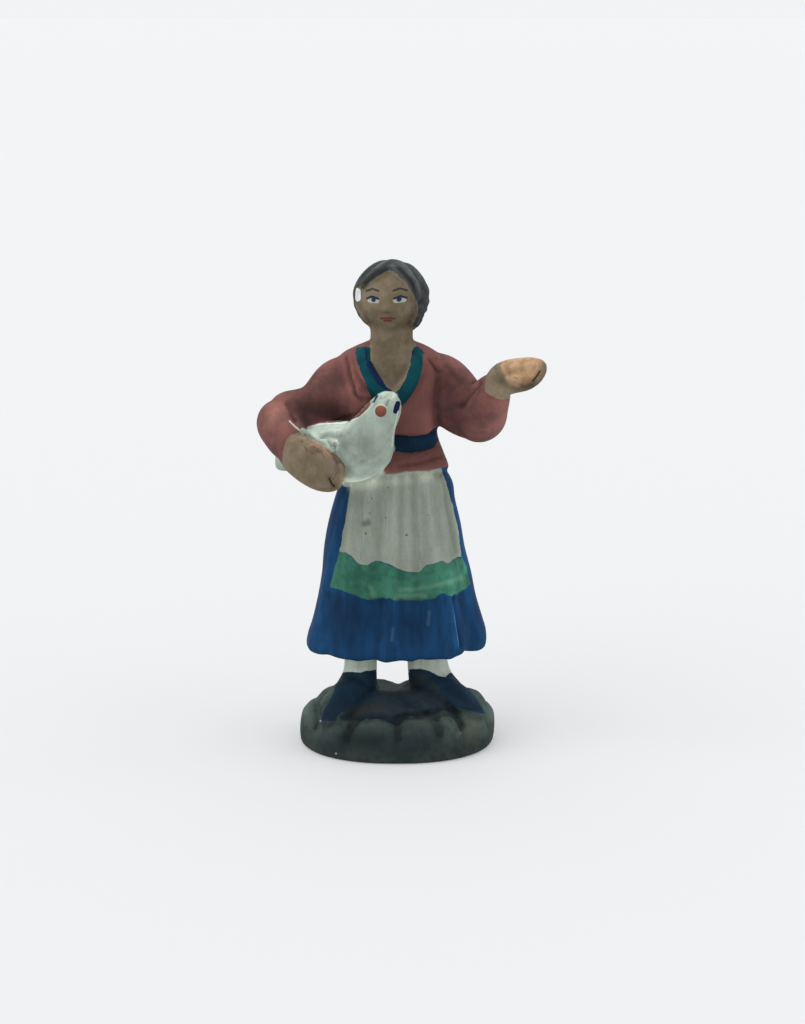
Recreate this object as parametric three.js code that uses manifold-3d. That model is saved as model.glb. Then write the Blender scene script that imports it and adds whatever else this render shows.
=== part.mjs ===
// A painted terracotta nativity figure, 69 mm tall: a village woman who holds a goose under her right arm and
// offers her open left hand. Figure, goose and rocky mound are pressed and fired as one piece of clay.
// Millimetres, +Z up. She faces -Y, her open hand points along +X, and the origin is the centre of the underside.
import * as THREE from 'three';
import { ParametricGeometry } from 'three/addons/geometries/ParametricGeometry.js';
import { mergeVertices } from 'three/addons/utils/BufferGeometryUtils.js';
import Module from 'manifold-3d';

// The mound: its half sizes, how square its plan is, how it leans to +X with height, and its outline as shares of
// its size: [out, up, how far the stones stand out here].
const mound = {
  halfWidth: 13.9,
  halfDepth: 12.6,
  height: 6.0,
  square: 2.2,
  centre: -0.05,
  lean: 0.05,
  outline: [[0, 0, 0], [0.96, 0, 0], [0.99, 0.05, 0], [1, 0.2, 0.05], [0.99, 0.45, 0.4], [0.96, 0.66, 0.95],
    [0.89, 0.85, 1.1], [0.8, 0.95, 0.9], [0.72, 0.9, 0.35], [0.65, 0.87, 0], [0, 0.92, 0]],
  stoneRelief: 1.0,
  stoneLift: 0.75,
  // Angles of the joints between stones, in degrees.
  stoneJoints: [-150, -120, -90, -66, -48, -18, 12, 42, 66, 90, 124, 160],
};

// Bodies with level sections: each level is [z, half width, half depth, centre x, centre y].
const skirt = {
  square: 2.35,
  levels: [
    [13.5, 11.9, 7.3, 0.0, 0.0],
    [14.1, 12.75, 8.1, -0.1, 0.0],
    [16.0, 12.65, 8.05, 0.05, 0.0],
    [17.8, 12.1, 7.8, 0.1, 0.0],
    [21.2, 11.2, 7.35, 0.0, 0.0],
    [24.7, 10.55, 7.0, -0.05, 0.0],
    [28.2, 9.95, 6.65, -0.35, 0.0],
    [31.7, 9.35, 6.3, -0.35, 0.0],
    [35.1, 8.5, 6.0, -0.3, 0.0],
    [37.8, 7.8, 5.7, -0.05, 0.0],
    [40.8, 6.0, 5.0, -0.2, 0.0],
  ],
  // The hem rises towards her left: at which angle, over how many degrees, how high, and from what height down.
  hemRise: { angle: -40, half: 17, height: 0.6, from: 18.5 },
};
const jacket = {
  square: 2.3,
  levels: [
    [39.6, 7.3, 5.95, -0.05, 0.0],
    [40.2, 7.35, 6.1, -0.15, 0.0],
    [42.1, 6.65, 5.55, -0.2, 0.0],
    [44.6, 5.85, 4.95, -0.2, 0.0],
    [47.5, 6.4, 5.1, -0.45, -0.1],
    [51.2, 7.3, 5.1, -0.4, -0.1],
    [54.0, 7.9, 4.6, -0.7, 0.1],
    [55.6, 6.8, 4.0, -0.9, 0.2],
    [56.7, 4.9, 3.4, -0.75, 0.4],
    [57.3, 3.3, 2.9, -0.75, 0.5],
  ],
};
const neck = {
  square: 2.0,
  levels: [
    [50.8, 1.0, 3.8, -0.75, -0.4],
    [53.7, 2.5, 4.4, -0.75, -0.2],
    [56.2, 3.0, 3.3, -0.75, 0.1],
    [58.2, 2.95, 2.7, -0.7, 0.2],
    [60.7, 3.0, 2.9, -0.7, 0.3],
  ],
};
const legs = {
  square: 2.0,
  right: [
    [4.2, 3.4, 3.2, -6.1, -0.8],
    [7.2, 3.2, 3.1, -6.0, -0.8],
    [10.2, 2.4, 2.4, -5.25, -0.4],
    [14.0, 2.35, 2.3, -5.15, -0.3],
  ],
  left: [
    [4.2, 3.7, 3.3, 5.3, -0.8],
    [7.2, 4.0, 3.2, 5.8, -0.8],
    [10.2, 3.05, 2.5, 4.6, -0.4],
    [14.0, 2.7, 2.3, 4.1, -0.3],
  ],
};

// Bodies carried along a line: each station is [x, y, z, half size across, half size deep]. The deep side looks
// along facing, and blunt is high for squarer ends.
const limbs = {
  rightBoot: {
    facing: [0, 0, 1],
    blunt: 4.2,
    stations: [
      [-4.9, 1.6, 6.0, 2.6, 2.0],
      [-6.3, -2.2, 7.1, 2.8, 2.6],
      [-8.1, -5.8, 6.5, 2.8, 2.2],
      [-9.8, -9.5, 5.3, 2.4, 1.9],
    ],
  },
  leftBoot: {
    facing: [0, 0, 1],
    blunt: 4.2,
    stations: [
      [3.0, 1.6, 6.0, 2.8, 2.0],
      [5.6, -1.6, 7.2, 3.1, 2.8],
      [8.8, -4.3, 6.6, 2.6, 2.3],
      [12.3, -6.6, 5.5, 2.1, 1.6],
    ],
  },
  // The rock that rises between the boots and runs down in front of them.
  rock: {
    facing: [0, 0, 1],
    blunt: 3.0,
    stations: [
      [-8.6, -6.2, 5.0, 3.0, 1.6],
      [-4.2, -4.8, 5.3, 4.9, 2.8],
      [0.4, -4.3, 5.3, 4.8, 2.8],
      [5.0, -4.4, 5.4, 4.6, 3.1],
      [9.2, -5.4, 5.1, 3.0, 1.8],
    ],
  },
  rightUpperArm: {
    facing: [0, -1, 0],
    blunt: 3.2,
    stations: [
      [-2.2, 0.6, 51.9, 4.6, 3.2],
      [-7.4, 0.4, 50.5, 4.75, 3.4],
      [-12.1, -0.4, 47.9, 3.3, 3.2],
      [-17.8, -1.6, 47.1, 4.65, 3.4],
    ],
  },
  rightForearm: {
    facing: [-0.5, -0.6, 0.3],
    blunt: 3.0,
    stations: [
      [-16.9, 0.8, 47.0, 3.2, 3.2],
      [-16.2, -2.4, 46.3, 3.35, 3.3],
      [-15.0, -5.3, 44.3, 2.85, 2.8],
      [-13.9, -8.0, 42.7, 2.4, 2.3],
    ],
  },
  rightHand: {
    facing: [-0.35, -1, 0.1],
    blunt: 4.2,
    stations: [
      [-15.6, -5.0, 44.0, 2.3, 2.1],
      [-13.3, -7.4, 42.7, 2.9, 2.2],
      [-10.8, -9.1, 41.3, 3.0, 2.0],
      [-7.2, -10.3, 39.3, 2.7, 1.5],
    ],
  },
  leftUpperArm: {
    facing: [0, -1, 0],
    blunt: 3.2,
    stations: [
      [0.8, 0.4, 52.6, 3.6, 3.0],
      [5.4, 0.2, 51.5, 4.4, 3.5],
      [8.7, -0.9, 48.75, 4.15, 3.8],
      [13.1, -2.4, 45.0, 3.95, 3.5],
    ],
  },
  leftForearm: {
    facing: [-0.6, -0.6, 0.4],
    blunt: 3.0,
    stations: [
      [10.7, 0.6, 45.3, 3.7, 3.5],
      [11.5, -2.4, 47.4, 3.8, 3.8],
      [12.7, -4.9, 50.2, 3.1, 3.0],
      [14.3, -7.2, 53.4, 2.85, 2.5],
    ],
  },
  leftHand: {
    facing: [-0.15, -0.7, 0.72],
    blunt: 4.6,
    stations: [
      [12.7, -5.8, 51.9, 2.4, 2.2],
      [15.1, -7.0, 53.4, 2.6, 2.0],
      [17.7, -7.9, 54.1, 2.65, 1.4],
      [20.3, -8.6, 55.4, 1.75, 1.1],
    ],
  },
  gooseBody: {
    facing: [-0.5, -1, 0],
    blunt: 3.0,
    stations: [
      [-17.0, 2.8, 39.0, 1.8, 1.3],
      [-14.2, 0.0, 41.5, 2.8, 2.4],
      [-9.4, -4.0, 42.7, 4.1, 3.2],
      [-5.0, -6.8, 42.9, 4.2, 3.4],
      [-0.6, -8.4, 43.2, 3.3, 2.6],
    ],
  },
  gooseNeck: {
    facing: [0, -1, 0.2],
    blunt: 4.5,
    stations: [
      [-4.9, -5.6, 40.6, 3.6, 2.8],
      [-4.1, -7.5, 44.2, 3.9, 3.2],
      [-2.75, -8.9, 47.4, 2.8, 2.7],
      [-1.5, -9.7, 49.7, 2.3, 2.1],
      [-0.8, -10.0, 51.9, 2.0, 1.9],
    ],
  },
  gooseBeak: {
    facing: [0, 0, 1],
    blunt: 5,
    stations: [
      [-1.5, -10.2, 49.9, 0.9, 0.9],
      [-1.85, -11.3, 49.75, 0.8, 0.75],
      [-2.2, -12.5, 49.6, 0.65, 0.6],
    ],
  },
  bun: {
    facing: [0, 0, 1],
    blunt: 2.0,
    stations: [
      [-0.9, -0.6, 61.2, 2.8, 2.6],
      [-0.4, 2.6, 60.7, 4.1, 2.7],
      [-0.3, 6.2, 60.4, 3.2, 2.2],
    ],
  },
};

// The head: centre, half sizes, how it is tipped and turned in degrees, and how thick the hair lies on it.
const head = {
  centre: [-0.75, -0.2, 63.55],
  halfWidth: 4.7,
  halfDepth: 4.6,
  halfHeight: 4.6,
  jawNarrowing: 0.18,
  nod: 3,
  tilt: -2,
  turn: -9,
  hair: 0.6,
  hairNarrowing: 0.04,
};
// The opening the hair leaves for the face: outline points [across, height] from the head's centre, how far back
// it reaches, and a point inside it.
const faceOpening = {
  outline: [[0.4, 3.7], [-0.7, 3.15], [-1.9, 2.45], [-3.5, 1.7], [-4.4, 0.9], [-4.55, -0.9], [-3.3, -3.3], [-1.4, -6.0],
    [2.3, -5.6], [2.9, -3.6], [3.5, -2.2], [3.65, -0.9], [3.35, 0.4], [2.6, 1.7], [1.7, 2.75]],
  back: 0.7,
  front: -6.0,
  middle: [0, -1.0],
  flare: 0.25,
};
// Relief of the face: [across, height, half size across, half size high, how far it stands out].
const features = [[0, 0.2, 0.6, 1.0, 0.4], [0, -0.85, 0.75, 0.5, 0.8], [-1.75, 0.35, 0.9, 0.55, -0.3],
  [1.75, 0.35, 0.9, 0.55, -0.3], [0, -2.35, 1.0, 0.45, 0.35], [0, -3.9, 1.2, 0.7, 0.5]];

// The collar lies on the shoulders as one closed band through these points, each with the way its face looks.
const collar = {
  halfBreadth: 1.05,
  halfThickness: 0.55,
  points: [[-0.6, -5.3, 50.3], [1.5, -5.2, 52.2], [2.65, -4.3, 54.2], [3.1, -2.2, 56.0], [2.2, 2.0, 56.6],
    [-0.8, 3.4, 56.7], [-4.0, 2.0, 56.6], [-5.0, -2.2, 55.95], [-4.5, -4.3, 54.2], [-3.0, -5.2, 52.2]],
  facings: [[0, -1, 0.2], [0.2, -1, 0.35], [0.5, -0.9, 0.6], [0.7, -0.5, 0.9], [0.4, 0.6, 1],
    [0, 0.8, 1], [-0.4, 0.6, 1], [-0.7, -0.5, 0.9], [-0.5, -0.9, 0.6], [-0.2, -1, 0.35]],
};

// Folds of the skirt: [angle in degrees, half width in degrees, height at the hem]. The back has even pleats.
const folds = [[-155, 10, 0.3], [-119, 10, 0.4], [-90, 12, 0.45], [-53, 9, 0.9], [-33, 11, -0.8]];
const backPleats = { count: 9, height: 0.3 };
// The apron: a thin panel over the front of the skirt, wider towards its lower edge.
const apron = { top: 39.8, bottom: 22.6, halfTop: 6.3, spread: 0.235, centre: -0.15, thickness: 0.35, edge: 0.5 };

const wasm = await Module();
wasm.setup();

const radians = THREE.MathUtils.degToRad;
const degrees = THREE.MathUtils.radToDeg;
const clamp = THREE.MathUtils.clamp;
const smooth = THREE.MathUtils.smoothstep;
const lerp = THREE.MathUtils.lerp;
const bell = (offset, halfWidth) => Math.exp(-((offset / halfWidth) ** 2));
const turned = (angle) => ((angle + 540) % 360) - 180;
const smoothLine = (points, closed = false) => new THREE.CatmullRomCurve3(
  points.map(([x, y, z]) => new THREE.Vector3(x, y, z)), closed, 'catmullrom');

// A cosine or sine squared off for a superellipse of the given power.
const squared = (value, power) => Math.sign(value) * Math.abs(value) ** (2 / power);

// Closes a grid of points at its seam and poles, and makes it a solid.
function solid(pointAt, around, rows) {
  const grid = new ParametricGeometry((u, v, target) => pointAt(2 * Math.PI * (u % 1), v, target), around, rows);
  grid.deleteAttribute('normal');
  grid.deleteAttribute('uv');
  const merged = mergeVertices(grid, 1e-4);
  const index = merged.index.array;
  const triVerts = [];
  for (let i = 0; i < index.length; i += 3) {
    const [a, b, c] = index.subarray(i, i + 3);
    if (a !== b && b !== c && c !== a) triVerts.push(a, b, c);
  }
  return new wasm.Manifold(new wasm.Mesh({
    numProp: 3,
    vertProperties: merged.attributes.position.array,
    triVerts: new Uint32Array(triVerts),
  }));
}

// A body of level, oval sections. The first and last row close it with flat ends.
function lofted({ levels, square, hemRise }, around, rows, relief = () => 0) {
  const heights = smoothLine(levels.map(([z, x, y]) => [z, x, y]));
  const sizes = smoothLine(levels.map(([, , , x, y]) => [x, y, 0]));
  return solid((turn, v, target) => {
    const t = clamp((v * rows - 1) / (rows - 2), 0, 1);
    const out = v === 0 || v === 1 ? 0 : 1;
    const { x: z, y: halfWidth, z: halfDepth } = heights.getPoint(t);
    const { x, y } = sizes.getPoint(t);
    const angle = turned(degrees(turn));
    const swell = relief(angle, z, halfWidth);
    const rise = hemRise ? hemRise.height * bell(angle - hemRise.angle, hemRise.half) : 0;
    target.set(
      x + out * (halfWidth + swell) * squared(Math.cos(turn), square),
      y + out * (halfDepth + swell) * squared(Math.sin(turn), square),
      z + (hemRise ? out * rise * clamp((hemRise.from - z) / 4.5, 0, 1) : 0),
    );
  }, around, rows);
}

// A body whose oval section is carried along a line, with rounded ends.
function carried({ stations, facing, blunt }, around, rows) {
  const line = smoothLine(stations);
  const sizes = smoothLine(stations.map(([, , , across, deep]) => [across, deep, 0]));
  const look = new THREE.Vector3(...facing);
  return solid((turn, v, target) => {
    const t = (1 - Math.cos(Math.PI * v)) / 2;
    const taper = Math.sqrt(1 - Math.abs(2 * t - 1) ** blunt);
    const tangent = line.getTangent(t);
    const deepSide = look.clone().addScaledVector(tangent, -look.dot(tangent)).normalize();
    const acrossSide = deepSide.clone().cross(tangent);
    const { x: across, y: deep } = sizes.getPoint(t);
    target.copy(line.getPoint(t))
      .addScaledVector(acrossSide, across * taper * Math.cos(turn))
      .addScaledVector(deepSide, deep * taper * Math.sin(turn));
  }, around, rows);
}

// How far a stone stands out at an angle round the mound: 1 at its middle, 0 at the joints beside it.
function stoneAt(angle) {
  const joints = mound.stoneJoints;
  const next = joints.findIndex((joint) => joint > angle);
  const low = next > 0 ? joints[next - 1] : joints[joints.length - 1] - (next === 0 ? 360 : 0);
  const high = next < 0 ? joints[0] + 360 : joints[next];
  return 1 - Math.abs((2 * (angle - low)) / (high - low) - 1) ** 2.2;
}

// The mound: a loaf with a squared shoulder, where each stone's top swells out of the edge.
function makeMound(around) {
  const { halfWidth, halfDepth, height, square, centre, lean, outline, stoneRelief, stoneLift } = mound;
  const rows = outline.length - 1;
  return solid((turn, v, target) => {
    const [out, up, strength] = outline[Math.round(v * rows)];
    const stone = stoneRelief * strength * (stoneAt(turned(degrees(turn))) - 0.6);
    const z = up * height + stoneLift * stone;
    target.set(
      centre + lean * z + (out * halfWidth + stone) * squared(Math.cos(turn), square),
      (out * halfDepth + stone) * squared(Math.sin(turn), square),
      z,
    );
  }, around, rows);
}

// The skirt's folds, strongest at the hem, and the apron's step over the front.
function skirtRelief(angle, z, halfWidth) {
  const fall = clamp((40 - z) / 26, 0, 1);
  const front = folds.reduce((sum, [middle, half, height]) => sum + height * bell(angle - middle, half), 0);
  const back = backPleats.height * (Math.cos(radians(angle * backPleats.count)) - 1) * smooth(angle, 0, 25);
  const x = halfWidth * squared(Math.cos(radians(angle)), skirt.square);
  const halfApron = apron.halfTop + (apron.top - z) * apron.spread;
  const side = 1 - smooth(Math.abs(x - apron.centre), halfApron - apron.edge, halfApron);
  const panel = angle < 0 && z > apron.bottom ? side : 0;
  return (0.25 + 0.75 * fall) * (front + (angle > 0 ? back : 0)) + apron.thickness * panel;
}

// An egg the size of the head, larger by a margin. Its columns stand closer together on the face.
function egg(margin, narrowing, relief, around, rows) {
  return solid((turn, v, target) => {
    const side = turn - 0.45 * Math.sin(turn);
    const rise = Math.PI * (v - 0.5);
    const out = v === 0 || v === 1 ? 0 : Math.cos(rise);
    const z = Math.sin(rise) * (head.halfHeight + margin);
    const low = smooth(-z, 0, head.halfHeight);
    const x = out * (head.halfWidth * (1 - narrowing * low) + margin) * Math.sin(side);
    const y = -out * (head.halfDepth * (1 - 0.5 * narrowing * low) + margin) * Math.cos(side);
    target.set(x, y - relief(x, z) * smooth(out * Math.cos(side), 0.1, 0.5), z);
  }, around, rows);
}

// The face opening as a solid: its outline, swept from back to front.
function openingSolid(around) {
  const { outline, front, back, middle, flare } = faceOpening;
  const edge = smoothLine(outline.map(([x, z]) => [x, 0, z]), true);
  const rows = [[0, back], [1, back], [1 + flare, front], [0, front]];
  return solid((turn, v, target) => {
    const [out, y] = rows[Math.round(v * 3)];
    target.copy(edge.getPoint(turn / (2 * Math.PI)));
    target.set(lerp(middle[0], target.x, out), y, lerp(middle[1], target.z, out));
  }, around, 3);
}

// The head: the face's egg with its relief, under a cap of hair that is open over the face.
function makeHead() {
  const featureRelief = (x, z) => features.reduce(
    (sum, [fx, fz, halfX, halfZ, height]) => sum + height * bell(x - fx, halfX) * bell(z - fz, halfZ), 0);
  const hair = egg(head.hair, head.hairNarrowing, () => 0, 30, 18).subtract(openingSolid(44));
  const turns = new THREE.Euler(radians(head.nod), radians(head.tilt), radians(head.turn), 'ZYX');
  const place = new THREE.Matrix4().makeRotationFromEuler(turns).setPosition(...head.centre);
  return egg(0, head.jawNarrowing, featureRelief, 36, 24).add(hair).transform(place.elements);
}

// The collar: a flat closed band, carried once round the neck and down to a point on the chest.
function makeCollar(around, rows) {
  const line = smoothLine(collar.points, true);
  const facing = smoothLine(collar.facings, true);
  const ring = (turn, v, target) => {
    const tangent = line.getTangent(v);
    const deepSide = facing.getPoint(v);
    deepSide.addScaledVector(tangent, -deepSide.dot(tangent)).normalize();
    const acrossSide = deepSide.clone().cross(tangent);
    target.copy(line.getPoint(v))
      .addScaledVector(acrossSide, collar.halfBreadth * squared(Math.cos(turn), 3))
      .addScaledVector(deepSide, collar.halfThickness * squared(Math.sin(turn), 3));
  };
  return solid((turn, v, target) => ring(turn, v % 1, target), around, rows);
}

const figure = [
  makeMound(52),
  lofted({ square: legs.square, levels: legs.right }, 14, 5),
  lofted({ square: legs.square, levels: legs.left }, 14, 5),
  carried(limbs.rightBoot, 14, 9),
  carried(limbs.leftBoot, 14, 9),
  carried(limbs.rock, 14, 7),
  lofted(skirt, 60, 14, skirtRelief),
  lofted(jacket, 28, 12),
  lofted(neck, 18, 6),
  makeCollar(8, 32),
  carried(limbs.rightUpperArm, 16, 10),
  carried(limbs.leftUpperArm, 16, 10),
  carried(limbs.rightForearm, 16, 10),
  carried(limbs.leftForearm, 16, 10),
  carried(limbs.rightHand, 16, 10),
  carried(limbs.leftHand, 16, 10),
  carried(limbs.gooseBody, 18, 12),
  carried(limbs.gooseNeck, 16, 10),
  carried(limbs.gooseBeak, 10, 5),
  carried(limbs.bun, 12, 7),
  makeHead(),
].reduce((whole, piece) => whole.add(piece));

// Hands a solid back as three.js geometry.
function geometryOf(body) {
  const { numProp, numVert, vertProperties, triVerts } = body.getMesh();
  const positions = new Float32Array(numVert * 3);
  for (let i = 0; i < numVert; i++) positions.set(vertProperties.subarray(i * numProp, i * numProp + 3), i * 3);
  const geometry = new THREE.BufferGeometry();
  geometry.setAttribute('position', new THREE.BufferAttribute(positions, 3));
  geometry.setIndex(new THREE.BufferAttribute(triVerts, 1));
  geometry.computeVertexNormals();
  return geometry;
}

const paintedClay = new THREE.MeshStandardMaterial({ color: 0x7b6459, roughness: 0.75, metalness: 0 });
const mesh = new THREE.Mesh(geometryOf(figure), paintedClay);
mesh.name = 'terracotta_figure';

const group = new THREE.Group();
group.add(mesh);
export default group;
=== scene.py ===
import bpy
import numpy as np
from mathutils import Matrix, Vector


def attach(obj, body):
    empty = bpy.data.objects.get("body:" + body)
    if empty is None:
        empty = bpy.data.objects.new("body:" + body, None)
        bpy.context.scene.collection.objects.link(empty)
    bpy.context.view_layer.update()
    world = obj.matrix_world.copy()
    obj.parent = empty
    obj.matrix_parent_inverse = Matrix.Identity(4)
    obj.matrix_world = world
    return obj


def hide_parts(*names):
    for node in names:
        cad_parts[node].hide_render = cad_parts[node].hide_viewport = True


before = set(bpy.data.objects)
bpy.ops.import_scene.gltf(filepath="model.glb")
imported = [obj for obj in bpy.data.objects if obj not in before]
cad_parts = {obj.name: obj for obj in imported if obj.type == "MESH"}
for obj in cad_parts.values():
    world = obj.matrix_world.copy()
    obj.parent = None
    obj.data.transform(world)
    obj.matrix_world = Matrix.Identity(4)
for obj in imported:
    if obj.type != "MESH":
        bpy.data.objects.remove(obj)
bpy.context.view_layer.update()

print("stage: frame loaded")

# The camera: where it looks, how far off and how high it stands, and its lens for a frame 805 by 1024. That
# frame's middle and its pixels to a millimetre, at the target, place what is drawn over the photo.
camera = {"target": (0.8, 0.0, 33.2), "distance": 330.0, "elevation": 12.0, "lens": 82.37,
          "middle": (402.5, 512.0), "pixelsPerMm": 7.1}
elevation = np.radians(camera["elevation"])
forward = np.array([0.0, np.cos(elevation), -np.sin(elevation)])
upward = np.array([0.0, np.sin(elevation), np.cos(elevation)])
cameraPlace = np.array(camera["target"]) - camera["distance"] * forward
cameraObject = bpy.data.objects.new("camera", bpy.data.cameras.new("camera"))
bpy.context.scene.collection.objects.link(cameraObject)
cameraObject.location = Vector(cameraPlace / 1000)
cameraObject.rotation_euler = (np.pi / 2 - elevation, 0, 0)
cameraObject.data.lens = camera["lens"]
cameraObject.data.sensor_width = 36
cameraObject.data.clip_start = 0.01
cameraObject.data.clip_end = 200
bpy.context.scene.camera = cameraObject


# From 0 to 1, eased, as a value goes from low to high.
def smooth(value, low, high):
    share = np.clip((value - low) / (high - low), 0, 1)
    return share * share * (3 - 2 * share)


# A soft bump, 1 at no offset.
def bell(offset, half):
    return np.exp(-(offset / half) ** 2)


# A cosine or sine squared off for a superellipse of the given power.
def squared(value, power):
    return np.sign(value) * np.abs(value) ** (2 / power)


def unit(vectors):
    return vectors / np.maximum(np.linalg.norm(vectors, axis=-1, keepdims=True), 1e-9)


# Place and heading on a smooth curve through points, at shares of its length. Each span is a cubic whose ends
# run parallel to the line between the points on either side.
def curveAt(points, share, closed=False):
    points = np.asarray(points, float)
    if closed:
        ring = np.concatenate([points[-1:], points, points[:2]])
    else:
        ring = np.concatenate([2 * points[:1] - points[1:2], points, 2 * points[-1:] - points[-2:-1]])
    spans = len(ring) - 3
    place = np.clip(share, 0, 1) * spans
    span = np.minimum(place.astype(int), spans - 1)
    w = (place - span)[..., None]
    before, start, end, after = (ring[span + k] for k in range(4))
    leave = (end - before) / 2
    arrive = (after - start) / 2
    bend = 3 * (end - start) - 2 * leave - arrive
    twist = 2 * (start - end) + leave + arrive
    return start + w * (leave + w * (bend + w * twist)), leave + w * (2 * bend + 3 * w * twist)


# Points given in the photo's pixels, as mm across and up from the middle of the camera's view.
def fromPhoto(pixels):
    return (np.array(pixels, float) - camera["middle"]) * (1, -1) / camera["pixelsPerMm"]


# How far flat points lie from a line of points.
def lineGap(places, line):
    line = np.asarray(line, float)
    if len(line) == 1:
        return np.linalg.norm(places - line[0], axis=-1)
    gap = np.full(len(places), 1e9)
    for start, end in zip(line[:-1], line[1:]):
        run = end - start
        share = np.clip((places - start) @ run / (run @ run), 0, 1)
        gap = np.minimum(gap, np.linalg.norm(places - start - share[:, None] * run, axis=-1))
    return gap


# How far flat points lie inside a closed outline; negative outside.
def insideOf(places, outline):
    outline = np.asarray(outline, float)
    ends = np.roll(outline, -1, 0)
    odd = np.zeros(len(places), bool)
    for (x0, y0), (x1, y1) in zip(outline, ends):
        if y0 != y1:
            between = (places[:, 1] < y0) != (places[:, 1] < y1)
            odd ^= between & (places[:, 0] < x0 + (places[:, 1] - y0) * (x1 - x0) / (y1 - y0))
    return np.where(odd, 1, -1) * lineGap(places, np.concatenate([outline, outline[:1]]))


# The mound, its outline as shares of its size: [out, up, how far the stones stand out here].
mound = {
    "halfWidth": 13.9, "halfDepth": 12.6, "height": 6.0, "square": 2.2, "centre": -0.05, "lean": 0.05,
    "outline": [[0, 0, 0], [0.96, 0, 0], [0.99, 0.05, 0], [1, 0.2, 0.05], [0.99, 0.45, 0.4],
                [0.96, 0.66, 0.95], [0.89, 0.85, 1.1], [0.8, 0.95, 0.9], [0.72, 0.9, 0.35], [0.65, 0.87, 0],
                [0, 0.92, 0]],
    "stoneRelief": 1.0, "stoneLift": 0.75,
    "stoneJoints": [-150, -120, -90, -66, -48, -18, 12, 42, 66, 90, 124, 160],
}

# Bodies with level sections: each level is [z, half width, half depth, centre x, centre y].
skirt = {"square": 2.35, "foldsStart": 40.0, "foldsFull": 14.0, "levels": [
    [13.5, 11.9, 7.3, 0.0, 0.0], [14.1, 12.75, 8.1, -0.1, 0.0], [16.0, 12.65, 8.05, 0.05, 0.0],
    [17.8, 12.1, 7.8, 0.1, 0.0], [21.2, 11.2, 7.35, 0.0, 0.0], [24.7, 10.55, 7.0, -0.05, 0.0],
    [28.2, 9.95, 6.65, -0.35, 0.0], [31.7, 9.35, 6.3, -0.35, 0.0], [35.1, 8.5, 6.0, -0.3, 0.0],
    [37.8, 7.8, 5.7, -0.05, 0.0], [40.8, 6.0, 5.0, -0.2, 0.0]],
    "hemRise": {"angle": -40, "half": 17, "height": 0.6, "from": 18.5, "fade": 4.5}}  # towards her left
jacket = {"square": 2.3, "levels": [
    [39.6, 7.3, 5.95, -0.05, 0.0], [40.2, 7.35, 6.1, -0.15, 0.0], [42.1, 6.65, 5.55, -0.2, 0.0],
    [44.6, 5.85, 4.95, -0.2, 0.0], [47.5, 6.4, 5.1, -0.45, -0.1], [51.2, 7.3, 5.1, -0.4, -0.1],
    [54.0, 7.9, 4.6, -0.7, 0.1], [55.6, 6.8, 4.0, -0.9, 0.2], [56.7, 4.9, 3.4, -0.75, 0.4],
    [57.3, 3.3, 2.9, -0.75, 0.5]]}
neck = {"square": 2.0, "levels": [
    [50.8, 1.0, 3.8, -0.75, -0.4], [53.7, 2.5, 4.4, -0.75, -0.2], [56.2, 3.0, 3.3, -0.75, 0.1],
    [58.2, 2.95, 2.7, -0.7, 0.2], [60.7, 3.0, 2.9, -0.7, 0.3]]}
rightLeg = {"square": 2.0, "levels": [
    [4.2, 3.4, 3.2, -6.1, -0.8], [7.2, 3.2, 3.1, -6.0, -0.8], [10.2, 2.4, 2.4, -5.25, -0.4],
    [14.0, 2.35, 2.3, -5.15, -0.3]]}
leftLeg = {"square": 2.0, "levels": [
    [4.2, 3.7, 3.3, 5.3, -0.8], [7.2, 4.0, 3.2, 5.8, -0.8], [10.2, 3.05, 2.5, 4.6, -0.4],
    [14.0, 2.7, 2.3, 4.1, -0.3]]}

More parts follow.
